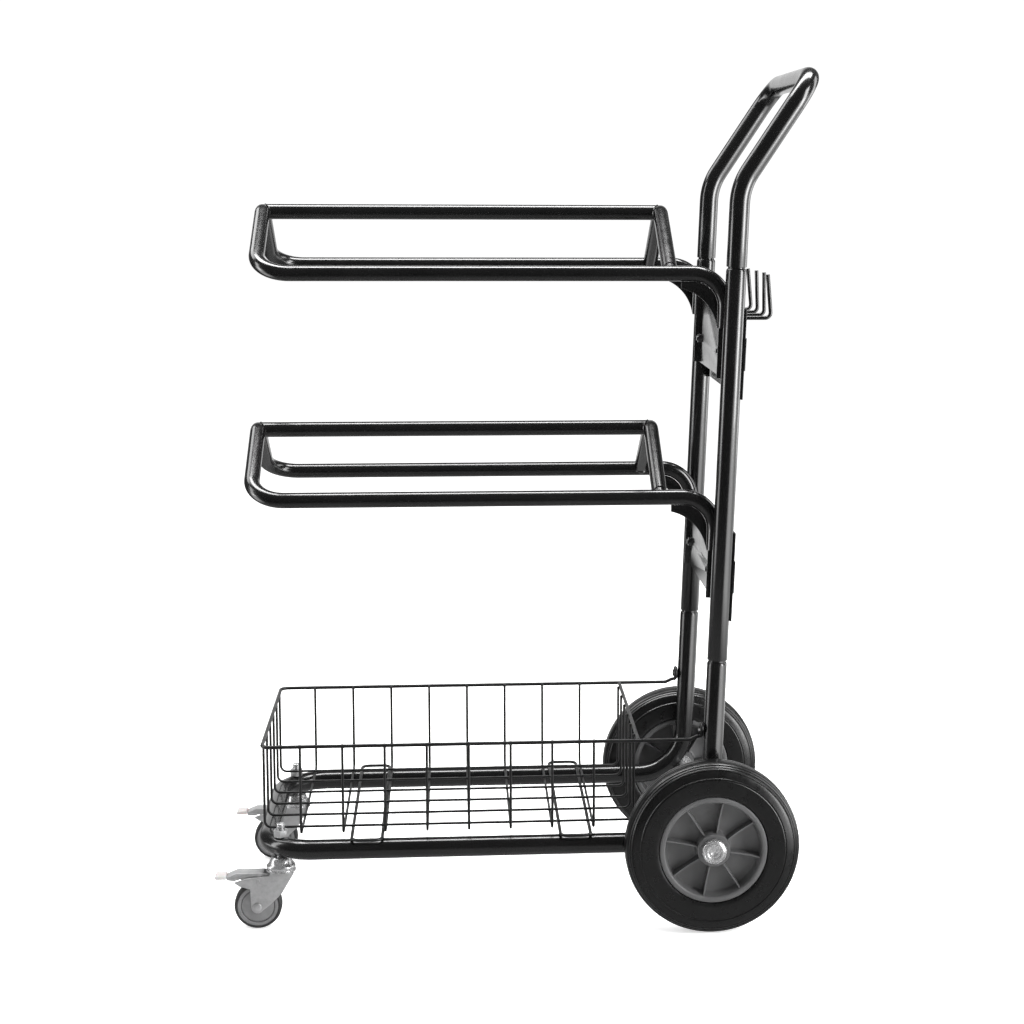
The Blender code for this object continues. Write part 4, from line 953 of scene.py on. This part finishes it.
def hub_ribs():
    """Eight thin ribs whose outer edges dip between the boss and the rim."""
    ribs = []
    clear_bench()
    bpy.ops.mesh.primitive_cube_add(size=1.0, location=((RIB_INNER + RIB_OUTER) / 2.0, 0.0, 0.0),
                                    scale=(RIB_OUTER - RIB_INNER, RIB_THICKNESS, RIB_DEPTH))
    rib = bpy.context.active_object
    settle(rib)
    edit(rib)
    bpy.ops.mesh.subdivide(number_cuts=6)
    object_mode()
    half_depth = RIB_DEPTH / 2.0
    for vertex in rib.data.vertices:
        share = (vertex.co.x - RIB_INNER) / (RIB_OUTER - RIB_INNER)
        dip = RIB_DIP * math.sin(math.pi * share)
        vertex.co.z *= 1.0 - dip / half_depth
        vertex.co.y *= 1.0 + RIB_DRAFT * (1.0 - abs(vertex.co.z) / half_depth)
    ease_edges(rib, 0.0004, 2, 60.0)
    for number in range(HUB_RIBS):
        pick(rib)
        bpy.ops.object.duplicate(linked=False)
        twin = bpy.context.active_object
        twin.rotation_euler = (0.0, 0.0, RIB_PHASE + 2.0 * math.pi * number / HUB_RIBS)
        settle(twin)
        ribs.append(twin)
    bpy.data.objects.remove(rib, do_unlink=True)
    return ribs


def cap_profile():
    return [
        (0.0105, 0.0000), (0.0183, 0.0000), (0.0184, 0.0012), (0.0184, 0.0052),
        (0.0180, 0.0072), (0.0170, 0.0086), (0.0156, 0.0092), (0.0148, 0.0089),
        (0.0140, 0.0094), (0.0122, 0.0099), (0.0104, 0.0097), (0.0096, 0.0090),
        (0.0082, 0.0086), (0.0066, 0.0089), (0.0052, 0.0085), (0.0036, 0.0077),
        (0.0012, 0.0075),
    ]


def rear_wheels():
    for side_name, side in SIDES:
        body = f"rear_wheel_{side_name}"
        tyre = turned("tyre", tyre_profile(), 144, True)
        set_on_axle(tyre, side, AXLE_X, side * WHEEL_Y, AXLE_Z)
        finish(tyre, f"tyre_{side_name}", body, RUBBER, f"rear_tyre_{side_name}")
        hub = join([turned("hub", hub_profile(), 96, True)] + hub_ribs())
        set_on_axle(hub, side, AXLE_X, side * WHEEL_Y, AXLE_Z)
        finish(hub, f"hub_{side_name}", body, PLASTIC, f"rear_hub_{side_name}")
        cap = turned("cap", cap_profile(), 64)
        set_on_axle(cap, side, AXLE_X, side * (WHEEL_Y + CAP_STAND_OFF), AXLE_Z)
        finish(cap, f"cap_{side_name}", "frame", BRIGHT_ZINC, f"axle_cap_{side_name}")
        washer = turned("washer", [
            (0.0105, 0.0014), (0.0198, 0.0014), (0.0200, 0.0012),
            (0.0200, 0.0002), (0.0198, 0.0000), (0.0105, 0.0000),
        ], 64, True)
        set_on_axle(washer, side, AXLE_X, side * (HALF_SPAN + TUBE_R + GAP), AXLE_Z)
        finish(washer, f"washer_{side_name}", "frame", BRIGHT_ZINC, f"axle_washer_{side_name}")


# Casters

def stem_profile():
    profile = [(0.0048, 0.1585), (0.0058, 0.1578)]
    height = 0.1572
    while height > 0.1400:
        profile.append((0.0060, height))
        profile.append((0.00555, height - 0.0005))
        height -= 0.0010
    profile += [
        (0.0060, 0.1388), (0.0060, 0.1082), (0.0118, 0.1082), (0.0132, 0.1078),
        (0.0146, 0.1066), (0.0156, 0.1046), (0.0164, 0.1020), (0.0176, 0.0994),
        (0.0194, 0.0974), (0.0208, 0.0960), (0.0214, 0.0946), (0.0215, 0.0930),
        (0.0212, 0.0920), (0.0203, 0.0916), (0.0203, 0.0906), (0.0212, 0.0902),
        (0.0215, 0.0896), (0.0213, 0.0888), (0.0050, 0.0888), (0.0050, 0.0862),
        (0.0084, 0.0862), (0.0090, 0.0856), (0.0082, 0.0846), (0.0050, 0.0842),
    ]
    return profile


def casters():
    for side_name, side in SIDES:
        y = side * CASTER_Y
        stem = turned("stem", stem_profile(), 64)
        stem.location = (CASTER_X, y, 0.0)
        settle(stem)
        finish(stem, f"stem_{side_name}", "frame", BRIGHT_ZINC, f"caster_stem_{side_name}")
        nut = worked_copy(f"caster_nut_{side_name}", "nut", 0.0007, 2, 50.0)
        finish(nut, f"nut_{side_name}", "frame", ZINC, f"caster_nut_{side_name}")
        fork = worked_copy(f"caster_fork_{side_name}", "fork", 0.0005, 2, 50.0)
        finish(fork, f"fork_{side_name}", f"caster_swivel_{side_name}", ZINC,
               f"caster_fork_{side_name}")
        tread = turned("tread", mirrored([
            (0.0304, 0.0106), (0.0310, 0.0111), (0.0322, 0.0110), (0.0336, 0.0101),
            (0.0346, 0.0086), (0.0351, 0.0066), (0.0352, 0.0040),
        ]), 72, True)
        set_on_axle(tread, side, CASTER_AXLE_X, y, CASTER_R)
        finish(tread, f"tread_{side_name}", f"caster_wheel_{side_name}", TREAD,
               f"caster_tread_{side_name}")
        core = turned("core", mirrored([
            (0.0045, 0.0130), (0.0082, 0.0130), (0.0090, 0.0125), (0.0102, 0.0106),
            (0.0112, 0.0102), (0.0232, 0.0102), (0.0237, 0.0099), (0.0238, 0.0080),
            (0.0249, 0.0080), (0.0250, 0.0101), (0.0255, 0.0106), (0.0292, 0.0108),
            (0.0300, 0.0106), (0.0303, 0.0100),
        ]), 72, True)
        set_on_axle(core, side, CASTER_AXLE_X, y, CASTER_R)
        finish(core, f"core_{side_name}", f"caster_wheel_{side_name}", CORE,
               f"caster_core_{side_name}")
        bolt = turned("bolt", [
            (0.0030, 0.0193), (0.0052, 0.0190), (0.0063, 0.0180), (0.0065, 0.0163),
            (0.0040, 0.0163), (0.0040, -0.0163), (0.0065, -0.0163), (0.0065, -0.0186),
            (0.0058, -0.0193),
        ], 40)
        set_on_axle(bolt, side, CASTER_AXLE_X, y, CASTER_R)
        finish(bolt, f"axle_bolt_{side_name}", f"caster_swivel_{side_name}", ZINC,
               f"caster_axle_bolt_{side_name}")
        lever = join([worked_copy(f"brake_pedal_{side_name}", "pedal", 0.0005, 2, 50.0)]
                     + lever_sides(y))
        finish(lever, f"lever_{side_name}", f"caster_brake_{side_name}", ZINC,
               f"brake_pedal_{side_name}")
        rivet = turned("rivet", [
            (0.0015, 0.0100), (0.0015, 0.0160), (0.0018, 0.0166), (0.0024, 0.0166),
            (0.0027, 0.0163), (0.0027, -0.0163), (0.0024, -0.0166), (0.0018, -0.0166),
            (0.0015, -0.0160), (0.0015, -0.0100),
        ], 32)
        set_on_axle(rivet, side, CASTER_X - LEVER_PIVOT[0], y, FORK_TOP - LEVER_PIVOT[1])
        finish(rivet, f"rivet_{side_name}", f"caster_brake_{side_name}", ZINC)
        tab = worked_copy(f"brake_tab_{side_name}", "tab", 0.0005, 3, 25.0)
        finish(tab, f"tab_{side_name}", f"caster_brake_{side_name}", NYLON,
               f"brake_tab_{side_name}")


def lever_sides(y):
    """The lever's turned-down edges, which end just above the fork's cheeks."""
    outline = [(-0.0270, -0.0026), (-0.0660, -0.0026), (-0.0796, -0.0086), (-0.0796, -0.0124),
               (-0.0686, -0.0139), (-0.0500, -0.0082), (-0.0185, -0.0056), (-0.0200, -0.0034)]
    placed = [(CASTER_X + across, FORK_TOP + up) for across, up in outline]
    return [sheet_plate("lever_side", placed, LEVER_SHEET, y + hand * LEVER_HALF_WIDTH, 0.0003)
            for hand in (-1.0, 1.0)]


def kept_nodes():
    """The axle and the basket's screws keep their solids' shape and take a worked finish."""
    finishes = {"rear_axle": ZINC, "basket_screw_left": COAT, "basket_screw_right": COAT}
    for name, material in finishes.items():
        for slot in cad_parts[name].material_slots:
            slot.material = material


frame_tubes()
racks()
hooks()
basket_rim()
basket_wires()
basket_supports()
rear_wheels()
casters()
kept_nodes()


# Studio

def arithmetic(recipe, operation, first, second):
    node = recipe.tree.nodes.new("ShaderNodeMath")
    node.operation = operation
    for socket, value in zip(node.inputs, (first, second)):
        if isinstance(value, float):
            socket.default_value = value
        else:
            recipe.tree.links.new(value, socket)
    return node.outputs["Value"]


def painted_floor_reflection(paint):
    """How bright the floor looks in gloss, painted as an emission: painted pools of light by the lamps
    and a painted glow round the cart's middle, dark elsewhere.
    """
    direction = paint.tree.nodes.new("ShaderNodeVectorMath")
    direction.operation = "NORMALIZE"
    paint.tree.links.new(paint.place, direction.inputs[0])
    split = paint.tree.nodes.new("ShaderNodeSeparateXYZ")
    paint.tree.links.new(direction.outputs["Vector"], split.inputs["Vector"])
    # painted pools of lamp light on the floor, seen only in reflections
    right = paint.spread(split.outputs["X"], 0.50, 0.66, 0.0, 4.5)
    left = paint.spread(split.outputs["X"], -0.955, -0.985, 0.0, 3.0)
    reach = paint.tree.nodes.new("ShaderNodeVectorMath")
    reach.operation = "LENGTH"
    paint.tree.links.new(paint.place, reach.inputs[0])
    away = paint.spread(reach.outputs["Value"], 0.9, 1.3)
    # painted glow on the floor round the cart's middle, fading by 1.6 m
    under = paint.spread(reach.outputs["Value"], 0.6, 1.6, 0.42, 0.07)
    front = paint.spread(split.outputs["Y"], -0.45, 0.0, 1.0, 0.30)
    behind = paint.spread(split.outputs["Y"], 0.86, 0.97, 0.0, 0.9)
    right = arithmetic(paint, "MULTIPLY", right, front)
    lamps = arithmetic(paint, "ADD", arithmetic(paint, "ADD", right, left), behind)
    pools = arithmetic(paint, "MULTIPLY", lamps, away)
    return arithmetic(paint, "ADD", pools, under)


def floor():
    clear_bench()
    bpy.ops.mesh.primitive_plane_add(size=60.0, location=(0.0, 0.0, -0.0005))
    ground = bpy.context.active_object
    ground.name = "studio_floor"
    paint = Recipe("pale_studio_floor")
    paint.colour(paint.shades(paint.noise(1.5, 3.0), ((0.3, (0.94, 0.94, 0.94)),
                                                      (0.7, (0.96, 0.96, 0.96)))))
    paint.fixed(Roughness=0.95, Specular_IOR_Level=0.0)
    rays = paint.tree.nodes.new("ShaderNodeLightPath")
    paint.tree.links.new(rays.outputs["Is Camera Ray"], paint.shader.inputs["Emission Strength"])
    paint.shader.inputs["Emission Color"].default_value = (0.55, 0.55, 0.55, 1.0)
    # glossy rays see this painted floor reflection in place of the floor's diffuse shading
    shade = paint.tree.nodes.new("ShaderNodeEmission")
    paint.tree.links.new(painted_floor_reflection(paint), shade.inputs["Strength"])
    mix = paint.tree.nodes.new("ShaderNodeMixShader")
    paint.tree.links.new(rays.outputs["Is Glossy Ray"], mix.inputs["Fac"])
    paint.tree.links.new(paint.shader.outputs["BSDF"], mix.inputs[1])
    paint.tree.links.new(shade.outputs["Emission"], mix.inputs[2])
    output = paint.tree.nodes["Material Output"]
    paint.tree.links.new(mix.outputs["Shader"], output.inputs["Surface"])
    ground.data.materials.append(paint.material)


def softbox(name, place, aim, width, height, power):
    clear_bench()
    bpy.ops.object.light_add(type="AREA", location=place)
    lamp = bpy.context.active_object
    lamp.name = name
    lamp.data.shape = "RECTANGLE"
    lamp.data.size = width
    lamp.data.size_y = height
    lamp.data.energy = power
    lamp.rotation_euler = (Vector(aim) - Vector(place)).to_track_quat("-Z", "Y").to_euler()


def surroundings():
    """White for the eye and for diffuse light, dimmer in the reflections."""
    world = bpy.data.worlds.new("studio")
    bpy.context.scene.world = world
    world.use_nodes = True
    tree = world.node_tree
    tree.nodes.clear()
    output = tree.nodes.new("ShaderNodeOutputWorld")
    rays = tree.nodes.new("ShaderNodeLightPath")
    bright = tree.nodes.new("ShaderNodeBackground")
    bright.inputs["Color"].default_value = (1.0, 1.0, 1.0, 1.0)
    bright.inputs["Strength"].default_value = 0.50
    dim = tree.nodes.new("ShaderNodeBackground")
    dim.inputs["Color"].default_value = (1.0, 1.0, 1.0, 1.0)
    backdrop = tree.nodes.new("ShaderNodeBackground")
    backdrop.inputs["Color"].default_value = (1.0, 1.0, 1.0, 1.0)
    backdrop.inputs["Strength"].default_value = 1.08
    way = tree.nodes.new("ShaderNodeTexCoord")
    split = tree.nodes.new("ShaderNodeSeparateXYZ")
    tree.links.new(way.outputs["Generated"], split.inputs["Vector"])
    glow = tree.nodes.new("ShaderNodeMapRange")
    glow.inputs["From Min"].default_value = 0.84
    glow.inputs["From Max"].default_value = 0.97
    glow.inputs["To Min"].default_value = 0.10
    glow.inputs["To Max"].default_value = 1.0
    tree.links.new(split.outputs["Y"], glow.inputs["Value"])
    tree.links.new(glow.outputs["Result"], dim.inputs["Strength"])
    mix = tree.nodes.new("ShaderNodeMixShader")
    tree.links.new(rays.outputs["Is Glossy Ray"], mix.inputs["Fac"])
    tree.links.new(bright.outputs["Background"], mix.inputs[1])
    tree.links.new(dim.outputs["Background"], mix.inputs[2])
    seen = tree.nodes.new("ShaderNodeMixShader")
    tree.links.new(rays.outputs["Is Camera Ray"], seen.inputs["Fac"])
    tree.links.new(mix.outputs["Shader"], seen.inputs[1])
    tree.links.new(backdrop.outputs["Background"], seen.inputs[2])
    tree.links.new(seen.outputs["Shader"], output.inputs["Surface"])


def camera():
    sight = bpy.data.cameras.new("camera")
    eye = bpy.data.objects.new("camera", sight)
    bpy.context.scene.collection.objects.link(eye)
    turn = Matrix.Rotation(-0.0861, 4, "Z") @ Matrix.Rotation(math.pi / 2.0 - 0.1297, 4, "X")
    place = Matrix.Translation((-0.0902, -3.1749, 1.1096))
    eye.matrix_world = place @ turn @ Matrix.Rotation(0.0041, 4, "Z")
    sight.sensor_width = 36.0
    sight.lens = 72.745
    sight.shift_x = -(630.0 - 512.0) / 1024.0
    sight.shift_y = (450.0 - 512.0) / 1024.0
    bpy.context.scene.camera = eye


floor()
surroundings()
softbox("right_softbox", (2.5, -1.55, 1.35), (0.0, 0.0, 0.75), 1.0, 2.6, 105.0)
softbox("rear_right_softbox", (2.7, 0.9, 1.3), (0.0, 0.0, 0.75), 0.9, 2.6, 26.0)
softbox("left_softbox", (-3.0, -0.1, 1.2), (0.0, 0.0, 0.75), 0.6, 2.4, 26.0)
softbox("top_softbox", (0.0, 0.45, 3.3), (0.0, 0.15, 0.5), 3.4, 0.9, 170.0)
softbox("high_left_softbox", (-2.4, 1.6, 3.2), (0.3, 0.0, 1.2), 2.0, 1.4, 40.0)
camera()
bpy.context.scene.view_settings.view_transform = "Standard"
